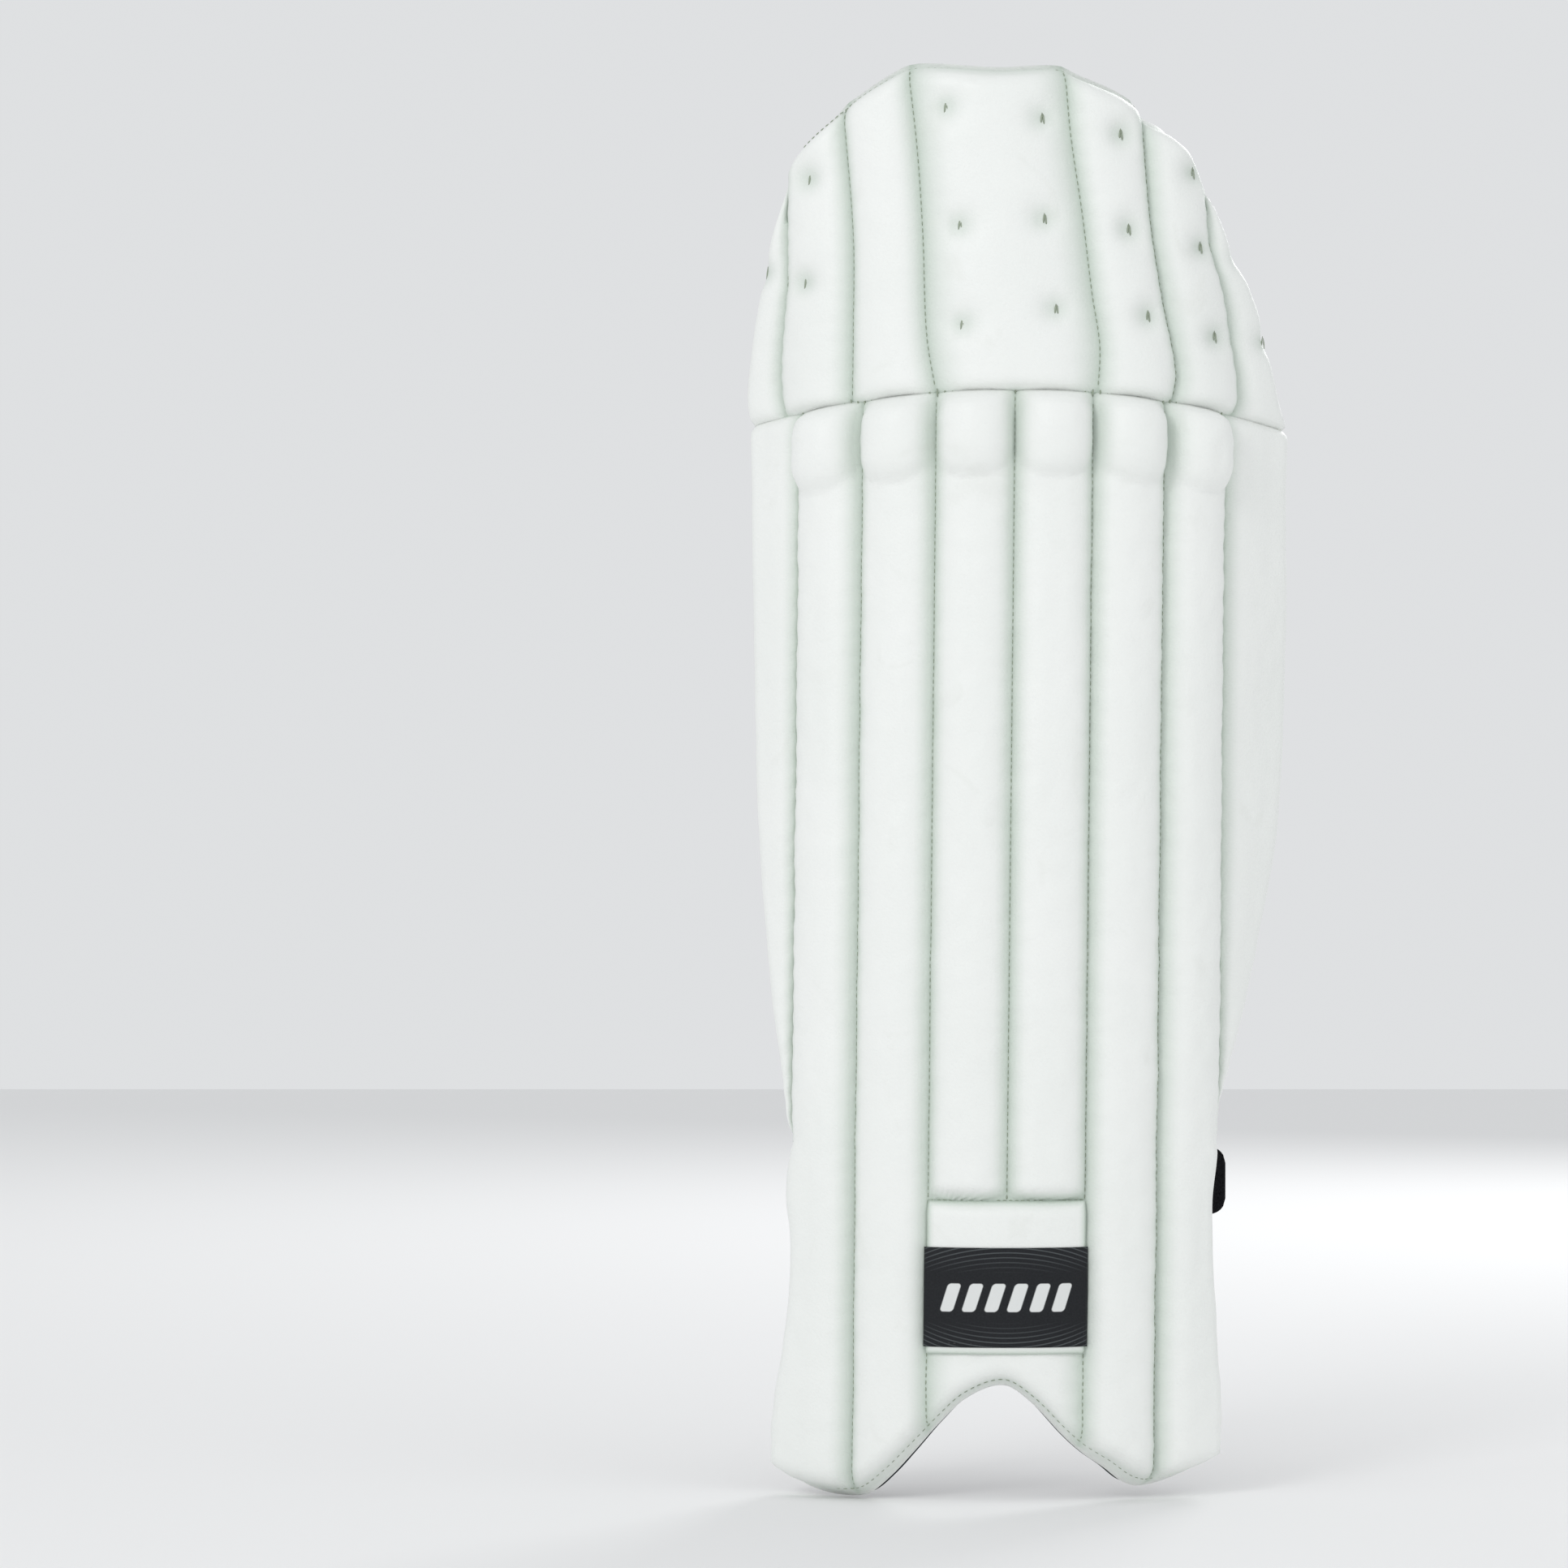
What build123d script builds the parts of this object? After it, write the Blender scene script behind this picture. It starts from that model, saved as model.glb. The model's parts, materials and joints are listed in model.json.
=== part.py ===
"""A cricket leg pad for a wicket-keeper: padded shin, top hat over the knee, two side wings and two straps.

Frame, in millimetres: +Z runs up the leg, the front faces -Y, +X is the wide wing's side. The origin is in
the leg's hollow, level with the two bottom tips. In plan the pad is an arc about the leg, so most pieces are
drawn in plan by radius and by angle from the front, and then cut to the pad's front outline.
"""

from build123d import *
import math
import os

# Driving sizes
HEIGHT = 622  # from the bottom tips to the top edge
KNEE_Z = 480  # middle of the seam between the shin and the top hat
KNEE_DROP = 15  # how far that seam drops at the wing rims
KNEE_GAP = 1.5  # each side of the knee seam
ARCH_Z = 49  # top of the instep arch
NARROW_RIM_X = -116
WIDE_RIM_X = 124
HOLLOW_Y = 68  # axis of the plan arc
SEAM_R = 129  # outside of the front cover at a seam
CHANNELS = 6
CHANNEL_ANGLE = 15.2  # 34 mm of front between two seams
SHIN_ANGLE = CHANNELS / 2 * CHANNEL_ANGLE
CROWN = 9  # how far a channel stands out between its seams
INSTEP_CROWN = 5
ROLL_CROWN = 5  # knee roll above its channel
SKIN = 1.4  # coated cover fabric
CLEAR = 0.4  # between neighbouring layers
LINING = 1.2
BOARD = 7.5  # stiff foam board behind the channels
CANE_R = 2.5
WING_TURN = 49  # wing panel, back from straight sideways
WING_SLOPE = 0.15  # inner end of a wing, sloped so that the wing can bend a little inwards too
FLEX_GAP = 1.0  # each side of a seam that bends
BOLSTER_R = 101  # plan radius of a bolster's middle line
BOLSTER_THICK = 29
BOLSTER_END = 50  # angle of the middle of a bolster's outer edge
SPLIT_X = 8  # gap between the bolsters, off centre towards the wide wing
BOLSTER_Z = (153, 487)
BAND_Z = 465  # foot of the plain band on the wide bolster
PATCH_Z = (64, 130)
LABEL_Z = (67, 110)
ROLL_Z = 444  # foot of the knee rolls
ROLL_HEIGHT = 60  # before they are cut to the knee seam
LOWER_STRAP_Z = (120.5, 151)
STRAP_FROM, STRAP_JOIN, STRAP_TO = (-86, 12, 94)  # sewn end, webbing to pile tape, free end
STRAP_Y = -12
STRAP_BOW = 7
STRAP_THICK = 2.2
HOOK = 1.6
UPPER_STRAP_Z = (377, 407)
UPPER_FROM, UPPER_TO = (20.5, 54)  # along the wing from its seam; the rim is at about 49
UPPER_ANCHOR_SPAN = (9.5, 18.5)
UPPER_PATCH_SPAN = (26.5, 46)
UPPER_HOOK_SPAN = (32, 45)
LOWER_ANCHOR_SPAN = (-44, -37)  # degrees from the front, as are the next two
LOWER_PATCH_SPAN = (34, 44)
PANEL_SPAN = (-46, -6)
PANEL_TOP = 460
PANEL_FILLET = 0.2
LOWER_HOOK_SPAN = (66, 82)
WING_FOOT = 156
WING_ROOT = 60  # well inside the wing seams
OVER_KNEE = 520  # above the knee seam
BELOW = 10  # how far a cut piece starts under its edge
INSET_ANGLE = 0.3  # of a padding from its seams, in degrees
CANE_Z = (70, 468)
CANES = (-3.6, 0, 3.6)  # degrees from the middle of a channel
CORE = 1.8  # a bolster's cover, and its clearance
PATCH_THICK = 0.9
LABEL_HALF = 35
ANCHOR = 2.8  # sewn-down webbing on the lining
BINDING = 1.3  # folded tape round the foot of the pad
REACH = 200  # longer than the pad is deep or wide, for cutting

# Plan radii, from the front cover inwards to the lining
PAD_R = SEAM_R - SKIN - CLEAR
BOARD_R = PAD_R - CLEAR
LINING_R = BOARD_R - BOARD - CLEAR
BACK_R = LINING_R - LINING

# The shin leans a little and the top hat leans more, both towards the narrow wing at the far end
SHIN_SHIFT = -5
SHIN_RISE = Vector(-SHIN_SHIFT / KNEE_Z, 0, 1)
TOP_RISE = Vector(-12.5 / (HEIGHT - KNEE_Z), 0, 1)
TOP_BASE = KNEE_Z - KNEE_DROP - BELOW
TOP_PLANE = Plane(origin=(TOP_RISE.X * (TOP_BASE - KNEE_Z), 0, TOP_BASE))
TOP_SEAMS = (-47, -31.5, -15.5, 15.5, 31.5, 47)
TOP_CROWN = 7
SHIN_SEAMS = [CHANNEL_ANGLE * (n - CHANNELS / 2) for n in range(CHANNELS + 1)]
LOW_SEAMS = [angle for angle in SHIN_SEAMS if angle]  # the middle seam stops at the label patch
NARROW, WIDE = -1, 1
WING_REACH = 60
FOOT = ((-110, 60), (-103, 24), (-77, 1), (-37, 32), (-5, ARCH_Z), (23, 27), (58, 4), (90, 22), (97, 60))

# Wing depths, from the front cover inwards to what lies on the lining
WING_SKIN = (0, SKIN)
WING_PADDING = (SEAM_R - PAD_R, SEAM_R - LINING_R - CLEAR)
WING_LINING = (SEAM_R - LINING_R, SEAM_R - BACK_R)
PILE_PATCH = (WING_LINING[1] + CLEAR, WING_LINING[1] + CLEAR + PATCH_THICK)
HOOK_TAB = (PILE_PATCH[1] + CLEAR, PILE_PATCH[1] + CLEAR + PATCH_THICK)
UPPER_TAPE = (HOOK_TAB[1] + CLEAR, HOOK_TAB[1] + CLEAR + STRAP_THICK)


def shin_plane(height):
    """Plan plane at this height, moved along with the shin's lean."""
    return Plane(origin=(SHIN_SHIFT + SHIN_RISE.X * height, 0, height))


def polar(radius, angle):
    """Plan point at this radius about the leg's axis, by degrees from the front towards +X."""
    turn = math.radians(angle)
    return (radius * math.sin(turn), HOLLOW_Y - radius * math.cos(turn))


def crowned(radius, crown, start, end):
    """Arc between two angles that stands out by crown half-way."""
    middle = (start + end) / 2
    return ThreePointArc(polar(radius, start), polar(radius + crown, middle), polar(radius, end))


def slab(plane, low, high, crown, start, end):
    """Section of one layer, from the radius low to the radius high, with the same crown on both."""
    with BuildSketch(plane) as face:
        with BuildLine():
            inner = crowned(low, crown, start, end)
            outer = crowned(high, crown, start, end)
            Line(inner @ 0, outer @ 0)
            Line(inner @ 1, outer @ 1)
        make_face()
    return face.sketch


def crescent(plane, radius, low_crown, high_crown, start, end):
    """Section of padding that is thickest half-way and runs out to nothing at both seams."""
    with BuildSketch(plane) as face:
        with BuildLine():
            crowned(radius, low_crown, start, end)
            crowned(radius, high_crown, start, end)
        make_face()
    return face.sketch


def skin(plane, seams, crowns):
    """Section of a front cover: one crowned strip for each channel, joined at the seams."""
    with BuildSketch(plane) as face:
        for start, end, crown in zip(seams, seams[1:], crowns):
            add(slab(Plane.XY, SEAM_R - SKIN, SEAM_R, crown, start, end))
    return face.sketch


def wing_bar(plane, side, angle, depths, start=FLEX_GAP, end=WING_REACH):
    """Section of a wing layer: a straight bar out from the seam at this angle, between two depths
    behind the wing's front and two distances along the wing from its seam."""
    low, high = depths
    root = Vector(*polar(SEAM_R, angle))
    turn = math.radians(WING_TURN)
    along = Vector(side * math.cos(turn), math.sin(turn))
    inward = Vector(-side * math.sin(turn), math.cos(turn))
    near_low = start + WING_SLOPE * low
    near_high = start + WING_SLOPE * high
    with BuildSketch(plane) as face:
        with BuildLine():
            Polyline(
                root + along * near_low + inward * low,
                root + along * end + inward * low,
                root + along * end + inward * high,
                root + along * near_high + inward * high,
                close=True,
            )
        make_face()
    return face.sketch


def write(builder, name):
    """Labels a finished piece and writes its STEP file."""
    builder.part.label = name
    export_step(builder.part, f"parts/{name}.step")


os.makedirs("parts", exist_ok=True)

# Front outlines, in the XZ plane: what each body is cut to
KNEE_R = (WIDE_RIM_X**2 + KNEE_DROP**2) / (2 * KNEE_DROP)


def knee_arc(start, end, gap):
    """The knee seam between two places across the pad, moved up by gap."""
    ends = [(x, KNEE_Z + gap - KNEE_R + math.sqrt(KNEE_R**2 - x**2)) for x in (start, end)]
    return ThreePointArc(ends[0], (0, KNEE_Z + gap), ends[1])


with BuildSketch(Plane.XZ) as shin_outline:
    with BuildLine():
        foot = Spline(*[(x, z + BINDING + CLEAR) for x, z in FOOT])
        knee = knee_arc(-REACH, REACH, -KNEE_GAP)
        Polyline(foot @ 0, (-REACH, (foot @ 0).Y), knee @ 0)
        Polyline(foot @ 1, (REACH, (foot @ 1).Y), knee @ 1)
    make_face()

with BuildSketch(Plane.XZ) as narrow_wing_outline:
    with BuildLine():
        rim = Spline((NARROW_RIM_X, 390), (-114, 315), (-107, 218), (-99, WING_FOOT))
        Polyline(rim @ 1, (-WING_ROOT, WING_FOOT), (-WING_ROOT, OVER_KNEE), (NARROW_RIM_X, OVER_KNEE), rim @ 0)
    make_face()
    add(shin_outline.sketch, mode=Mode.INTERSECT)

with BuildSketch(Plane.XZ) as wide_wing_outline:
    with BuildLine():
        rim = Spline((WIDE_RIM_X, 390), (121.5, 315), (106, 220), (91.5, WING_FOOT))
        Polyline(rim @ 1, (WING_ROOT, WING_FOOT), (WING_ROOT, OVER_KNEE), (WIDE_RIM_X, OVER_KNEE), rim @ 0)
    make_face()
    add(shin_outline.sketch, mode=Mode.INTERSECT)

with BuildSketch(Plane.XZ) as top_outline:
    with BuildLine():
        low = knee_arc(NARROW_RIM_X - 1, WIDE_RIM_X + 1, KNEE_GAP)
        left = Spline(low @ 0, (-113, 522), (-101, 578), (-76, 605), (-46, HEIGHT))
        right = Spline((21, HEIGHT), (55, 601), (83, 572), (109, 522), low @ 1)
        Line(left @ 1, right @ 0)
    make_face()

# ---- Shin: the root body ----

with BuildPart() as shin_front_cover:
    extrude(
        skin(shin_plane(PATCH_Z[1]), SHIN_SEAMS, [CROWN] * CHANNELS),
        amount=HEIGHT - PATCH_Z[1],
        dir=SHIN_RISE,
    )
    extrude(
        skin(shin_plane(0), LOW_SEAMS, (CROWN, CROWN, INSTEP_CROWN, CROWN, CROWN)),
        amount=PATCH_Z[1] + CLEAR,
        dir=SHIN_RISE,
    )
    extrude(shin_outline.sketch, amount=REACH, both=True, mode=Mode.INTERSECT)
write(shin_front_cover, "shin_front_cover")

# Split canes stand in the wadding of every channel
with BuildPart() as shin_canes:
    for start, end in zip(SHIN_SEAMS, SHIN_SEAMS[1:]):
        for turn in CANES:
            base = polar(PAD_R + CANE_R + CLEAR, (start + end) / 2 + turn)
            foot_z = PATCH_Z[1] + 10 if abs(start + end) < 2 * CHANNEL_ANGLE else CANE_Z[0]
            with BuildSketch(shin_plane(foot_z)):
                with Locations(base):
                    Circle(CANE_R)
            extrude(amount=CANE_Z[1] - foot_z, dir=SHIN_RISE)
write(shin_canes, "shin_canes")

for number, (start, end) in enumerate(zip(SHIN_SEAMS, SHIN_SEAMS[1:]), 1):
    foot_z = PATCH_Z[1] + 1 if abs(start + end) < 2 * CHANNEL_ANGLE else 0
    with BuildPart() as channel_padding:
        extrude(
            crescent(shin_plane(foot_z), PAD_R, 0, CROWN, start + INSET_ANGLE, end - INSET_ANGLE),
            amount=HEIGHT - foot_z,
            dir=SHIN_RISE,
        )
        extrude(shin_outline.sketch, amount=REACH, both=True, mode=Mode.INTERSECT)
        for turn in CANES:
            base = polar(PAD_R + CANE_R + CLEAR, (start + end) / 2 + turn)
            with BuildSketch(shin_plane(-10)):
                with Locations(base):
                    Circle(CANE_R + CLEAR / 4)
            extrude(amount=HEIGHT, dir=SHIN_RISE, mode=Mode.SUBTRACT)
    write(channel_padding, f"channel_padding_{number}")

with BuildPart() as instep_padding:
    extrude(
        crescent(shin_plane(0), PAD_R, 0, INSTEP_CROWN, -CHANNEL_ANGLE + INSET_ANGLE, CHANNEL_ANGLE - INSET_ANGLE),
        amount=PATCH_Z[1] - 1,
        dir=SHIN_RISE,
    )
    extrude(shin_outline.sketch, amount=REACH, both=True, mode=Mode.INTERSECT)
write(instep_padding, "instep_padding")

for number, (start, end) in enumerate(zip(SHIN_SEAMS, SHIN_SEAMS[1:]), 1):
    left, right = polar(SEAM_R, start)[0], polar(SEAM_R, end)[0]
    with BuildSketch(Plane.XZ) as roll_outline:
        with Locations(((left + right) / 2, ROLL_Z + ROLL_HEIGHT / 2)):
            RectangleRounded(right - left - 2 * CLEAR, ROLL_HEIGHT, (right - left) / 2 - 1)
        add(shin_outline.sketch, mode=Mode.INTERSECT)
    with BuildPart() as knee_roll:
        extrude(
            crescent(shin_plane(ROLL_Z - BELOW), SEAM_R + CLEAR, CROWN, CROWN + ROLL_CROWN, start, end),
            amount=ROLL_HEIGHT,
            dir=SHIN_RISE,
        )
        extrude(roll_outline.sketch, amount=REACH, both=True, mode=Mode.INTERSECT)
    write(knee_roll, f"knee_roll_{number}")

with BuildPart() as shin_backing_board:
    extrude(
        slab(shin_plane(0), BOARD_R - BOARD, BOARD_R, 0, -SHIN_ANGLE, SHIN_ANGLE), amount=HEIGHT, dir=SHIN_RISE
    )
    extrude(shin_outline.sketch, amount=REACH, both=True, mode=Mode.INTERSECT)
write(shin_backing_board, "shin_backing_board")

with BuildPart() as shin_lining:
    extrude(slab(shin_plane(0), BACK_R, LINING_R, 0, -SHIN_ANGLE, SHIN_ANGLE), amount=HEIGHT, dir=SHIN_RISE)
    extrude(shin_outline.sketch, amount=REACH, both=True, mode=Mode.INTERSECT)
write(shin_lining, "shin_lining")

# The label patch is sewn over the instep panel, with a woven label on it
with BuildPart() as label_patch:
    extrude(
        slab(
            shin_plane(PATCH_Z[0]),
            SEAM_R + CLEAR,
            SEAM_R + CLEAR + PATCH_THICK,
            INSTEP_CROWN,
            -CHANNEL_ANGLE,
            CHANNEL_ANGLE,
        ),
        amount=PATCH_Z[1] - PATCH_Z[0],
        dir=SHIN_RISE,
    )
write(label_patch, "label_patch")

with BuildPart() as woven_label:
    extrude(
        slab(
            shin_plane(LABEL_Z[0]),
            SEAM_R + 2 * CLEAR + PATCH_THICK,
            SEAM_R + 2 * CLEAR + 2 * PATCH_THICK,
            INSTEP_CROWN,
            -CHANNEL_ANGLE,
            CHANNEL_ANGLE,
        ),
        amount=LABEL_Z[1] - LABEL_Z[0],
        dir=SHIN_RISE,
    )
    with BuildSketch(Plane.XZ):
        with Locations((SHIN_SHIFT + 1, sum(LABEL_Z) / 2)):
            Rectangle(2 * LABEL_HALF, LABEL_Z[1] - LABEL_Z[0])
    extrude(amount=REACH, both=True, mode=Mode.INTERSECT)
write(woven_label, "woven_label")


def bolster_section(height, start, end, thick):
    """Plan section of a bolster: a slot that follows the leg, between two angles of its rounded ends."""
    with BuildSketch(shin_plane(height)) as face:
        with BuildLine(mode=Mode.PRIVATE) as middle:
            crowned(BOLSTER_R, 0, start, end)
        SlotArc(middle.edge(), thick)
    return face.sketch


# Two bolsters behind the lining hold the pad off the shin; the wide one is printed below a plain band
inner_edge = math.degrees(math.asin((SPLIT_X + BOLSTER_THICK / 2) / BOLSTER_R))
outer_edge = math.degrees(math.asin((SPLIT_X - BOLSTER_THICK / 2 - 2 * CLEAR) / BOLSTER_R))
WIDE_SPAN = (inner_edge, BOLSTER_END)
NARROW_SPAN = (-BOLSTER_END, outer_edge)

with BuildPart() as wide_bolster_core:
    extrude(
        bolster_section(BOLSTER_Z[0] + CORE, *WIDE_SPAN, BOLSTER_THICK - 2 * CORE),
        amount=BOLSTER_Z[1] - BOLSTER_Z[0] - 2 * CORE,
        dir=SHIN_RISE,
    )
write(wide_bolster_core, "wide_bolster_core")

with BuildPart() as wide_bolster_print:
    extrude(
        bolster_section(BOLSTER_Z[0], *WIDE_SPAN, BOLSTER_THICK), amount=BAND_Z - BOLSTER_Z[0], dir=SHIN_RISE
    )
    extrude(
        bolster_section(BOLSTER_Z[0] + SKIN, *WIDE_SPAN, BOLSTER_THICK - 2 * SKIN),
        amount=BAND_Z - BOLSTER_Z[0],
        dir=SHIN_RISE,
        mode=Mode.SUBTRACT,
    )
write(wide_bolster_print, "wide_bolster_print")

with BuildPart() as wide_bolster_band:
    extrude(
        bolster_section(BAND_Z + CLEAR, *WIDE_SPAN, BOLSTER_THICK),
        amount=BOLSTER_Z[1] - BAND_Z - CLEAR,
        dir=SHIN_RISE,
    )
    extrude(
        bolster_section(BAND_Z, *WIDE_SPAN, BOLSTER_THICK - 2 * SKIN),
        amount=BOLSTER_Z[1] - BAND_Z - SKIN,
        dir=SHIN_RISE,
        mode=Mode.SUBTRACT,
    )
write(wide_bolster_band, "wide_bolster_band")

with BuildPart() as narrow_bolster_core:
    extrude(
        bolster_section(BOLSTER_Z[0] + CORE, *NARROW_SPAN, BOLSTER_THICK - 2 * CORE),
        amount=BOLSTER_Z[1] - BOLSTER_Z[0] - 2 * CORE,
        dir=SHIN_RISE,
    )
write(narrow_bolster_core, "narrow_bolster_core")

with BuildPart() as narrow_bolster_cover:
    extrude(
        bolster_section(BOLSTER_Z[0], *NARROW_SPAN, BOLSTER_THICK),
        amount=BOLSTER_Z[1] - BOLSTER_Z[0],
        dir=SHIN_RISE,
    )
    extrude(
        bolster_section(BOLSTER_Z[0] + SKIN, *NARROW_SPAN, BOLSTER_THICK - 2 * SKIN),
        amount=BOLSTER_Z[1] - BOLSTER_Z[0] - 2 * SKIN,
        dir=SHIN_RISE,
        mode=Mode.SUBTRACT,
    )
write(narrow_bolster_cover, "narrow_bolster_cover")

# A dark printed panel with rounded top corners on the narrow bolster
PANEL_R = BOLSTER_R - BOLSTER_THICK / 2 - CLEAR
with BuildPart() as narrow_bolster_panel:
    extrude(
        slab(shin_plane(BOLSTER_Z[0] + 1), PANEL_R - PATCH_THICK, PANEL_R, 0, *PANEL_SPAN),
        amount=PANEL_TOP - BOLSTER_Z[0],
        dir=SHIN_RISE,
    )
    fillet(narrow_bolster_panel.edges().group_by(Axis.Z)[-1].filter_by(GeomType.LINE).sort_by(Axis.X), PANEL_FILLET)
write(narrow_bolster_panel, "narrow_bolster_panel")

# The lower strap is sewn down behind the narrow edge and closes on a pile patch behind the wide one
with BuildPart() as lower_strap_anchor:
    extrude(
        slab(shin_plane(LOWER_STRAP_Z[0]), BACK_R - ANCHOR, BACK_R - CLEAR, 0, *LOWER_ANCHOR_SPAN),
        amount=LOWER_STRAP_Z[1] - LOWER_STRAP_Z[0],
        dir=SHIN_RISE,
    )
write(lower_strap_anchor, "lower_strap_anchor")

with BuildPart() as lower_strap_patch:
    extrude(
        slab(shin_plane(LOWER_STRAP_Z[0]), BACK_R - CLEAR - PATCH_THICK, BACK_R - CLEAR, 0, *LOWER_PATCH_SPAN),
        amount=LOWER_STRAP_Z[1] - LOWER_STRAP_Z[0],
        dir=SHIN_RISE,
    )
write(lower_strap_patch, "lower_strap_patch")

# Tape folded round the foot of the pad
with BuildSketch(Plane.XZ) as binding_outline:
    for lift, mode in ((0, Mode.ADD), (BINDING, Mode.SUBTRACT)):
        with BuildLine():
            foot = Spline(*[(x, z + lift) for x, z in FOOT])
            Line(foot @ 0, foot @ 1)
        make_face(mode=mode)

with BuildPart() as foot_binding:
    extrude(
        slab(shin_plane(-10), BACK_R, SEAM_R, 0, -SHIN_ANGLE, SHIN_ANGLE), amount=KNEE_Z, dir=SHIN_RISE
    )
    extrude(binding_outline.sketch, amount=REACH, both=True, mode=Mode.INTERSECT)
write(foot_binding, "foot_binding")

# ---- Wings: each bends along its seam with the shin ----
WINGS = (("narrow", NARROW, narrow_wing_outline), ("wide", WIDE, wide_wing_outline))
WING_LAYERS = (("cover", WING_SKIN), ("padding", WING_PADDING), ("lining", WING_LINING))
for side_name, side, outline in WINGS:
    for layer, depths in WING_LAYERS:
        with BuildPart() as wing_layer:
            extrude(wing_bar(shin_plane(0), side, side * SHIN_ANGLE, depths), amount=HEIGHT, dir=SHIN_RISE)
            extrude(outline.sketch, amount=REACH, both=True, mode=Mode.INTERSECT)
        write(wing_layer, f"{side_name}_wing_{layer}")


def on_wide_wing(depths, start, end):
    """A strip of the upper strap's height on the wide wing's lining."""
    section = wing_bar(shin_plane(UPPER_STRAP_Z[0]), WIDE, SHIN_ANGLE, depths, start, end)
    return extrude(section, amount=UPPER_STRAP_Z[1] - UPPER_STRAP_Z[0], dir=SHIN_RISE)


with BuildPart() as upper_strap_anchor:
    on_wide_wing(PILE_PATCH, *UPPER_ANCHOR_SPAN)
write(upper_strap_anchor, "upper_strap_anchor")

with BuildPart() as upper_strap_patch:
    on_wide_wing(PILE_PATCH, *UPPER_PATCH_SPAN)
write(upper_strap_patch, "upper_strap_patch")

# ---- Upper strap: lifts off the wide wing ----
with BuildPart() as upper_strap_tape:
    on_wide_wing(UPPER_TAPE, UPPER_FROM, UPPER_TO)
write(upper_strap_tape, "upper_strap_tape")

with BuildPart() as upper_strap_hook:
    on_wide_wing(HOOK_TAB, *UPPER_HOOK_SPAN)
write(upper_strap_hook, "upper_strap_hook")


# ---- Lower strap: crosses behind the leg ----
def strap_piece(start, end, low, high):
    """Length of the lower strap between two places across the pad, low to high behind its inner face."""
    middle = (STRAP_FROM + STRAP_TO) / 2
    with BuildSketch(Plane.XY.offset(LOWER_STRAP_Z[0])) as face:
        with BuildLine():
            for depth in (low, high):
                edge = STRAP_Y + depth
                ThreePointArc((STRAP_FROM, edge), (middle, edge + STRAP_BOW), (STRAP_TO, edge))
            Line((STRAP_FROM, STRAP_Y + low), (STRAP_FROM, STRAP_Y + high))
            Line((STRAP_TO, STRAP_Y + low), (STRAP_TO, STRAP_Y + high))
        make_face()
        with Locations(((start + end) / 2, 0)):
            Rectangle(end - start, REACH, mode=Mode.INTERSECT)
    return extrude(face.sketch, amount=LOWER_STRAP_Z[1] - LOWER_STRAP_Z[0])


with BuildPart() as lower_strap_webbing:
    strap_piece(STRAP_FROM, STRAP_JOIN - CLEAR, 0, STRAP_THICK)
write(lower_strap_webbing, "lower_strap_webbing")

with BuildPart() as lower_strap_pile_tape:
    strap_piece(STRAP_JOIN, STRAP_TO, 0, STRAP_THICK)
write(lower_strap_pile_tape, "lower_strap_pile_tape")

with BuildPart() as lower_strap_hook:
    strap_piece(*LOWER_HOOK_SPAN, -CLEAR - HOOK, -CLEAR)
write(lower_strap_hook, "lower_strap_hook")

# ---- Top hat: bends forwards over the knee seam ----
TOP_WING = TOP_SEAMS[-1]
TOP_SPANS = list(zip(TOP_SEAMS, TOP_SEAMS[1:]))

with BuildPart() as top_front_cover:
    extrude(skin(TOP_PLANE, TOP_SEAMS, [TOP_CROWN] * len(TOP_SPANS)), amount=HEIGHT, dir=TOP_RISE)
    for side in (NARROW, WIDE):
        extrude(wing_bar(TOP_PLANE, side, side * TOP_WING, WING_SKIN, start=-CLEAR), amount=HEIGHT, dir=TOP_RISE)
    extrude(top_outline.sketch, amount=REACH, both=True, mode=Mode.INTERSECT)
write(top_front_cover, "top_front_cover")

for number, (start, end) in enumerate(TOP_SPANS, 1):
    with BuildPart() as top_padding:
        extrude(
            crescent(TOP_PLANE, PAD_R, 0, TOP_CROWN, start + INSET_ANGLE, end - INSET_ANGLE), amount=HEIGHT, dir=TOP_RISE
        )
        extrude(top_outline.sketch, amount=REACH, both=True, mode=Mode.INTERSECT)
    write(top_padding, f"top_padding_{number}")

for side_name, side in (("narrow", NARROW), ("wide", WIDE)):
    with BuildPart() as top_wing_padding:
        extrude(wing_bar(TOP_PLANE, side, side * TOP_WING, WING_PADDING), amount=HEIGHT, dir=TOP_RISE)
        extrude(top_outline.sketch, amount=REACH, both=True, mode=Mode.INTERSECT)
    write(top_wing_padding, f"top_{side_name}_wing_padding")

with BuildPart() as top_stiffener:
    extrude(slab(TOP_PLANE, BOARD_R - BOARD, BOARD_R, 0, -TOP_WING, TOP_WING), amount=HEIGHT, dir=TOP_RISE)
    extrude(top_outline.sketch, amount=REACH, both=True, mode=Mode.INTERSECT)
write(top_stiffener, "top_stiffener")

with BuildPart() as top_back_lining:
    extrude(slab(TOP_PLANE, BACK_R, LINING_R, 0, -TOP_WING, TOP_WING), amount=HEIGHT, dir=TOP_RISE)
    for side in (NARROW, WIDE):
        extrude(
            wing_bar(TOP_PLANE, side, side * TOP_WING, WING_LINING, start=-2 * FLEX_GAP),
            amount=HEIGHT,
            dir=TOP_RISE,
        )
    extrude(top_outline.sketch, amount=REACH, both=True, mode=Mode.INTERSECT)
write(top_back_lining, "top_back_lining")
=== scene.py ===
"""A wicket-keeper's cricket leg pad: the looks of every piece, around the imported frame.

Lengths inside the shape functions are in millimetres and are scaled to metres where a mesh is written.
A place on the pad is given by an arc length across its front, a height, and a lift off the front surface.
"""

import json
import math

import bmesh
import bpy
from mathutils import Matrix, Vector, noise


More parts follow.
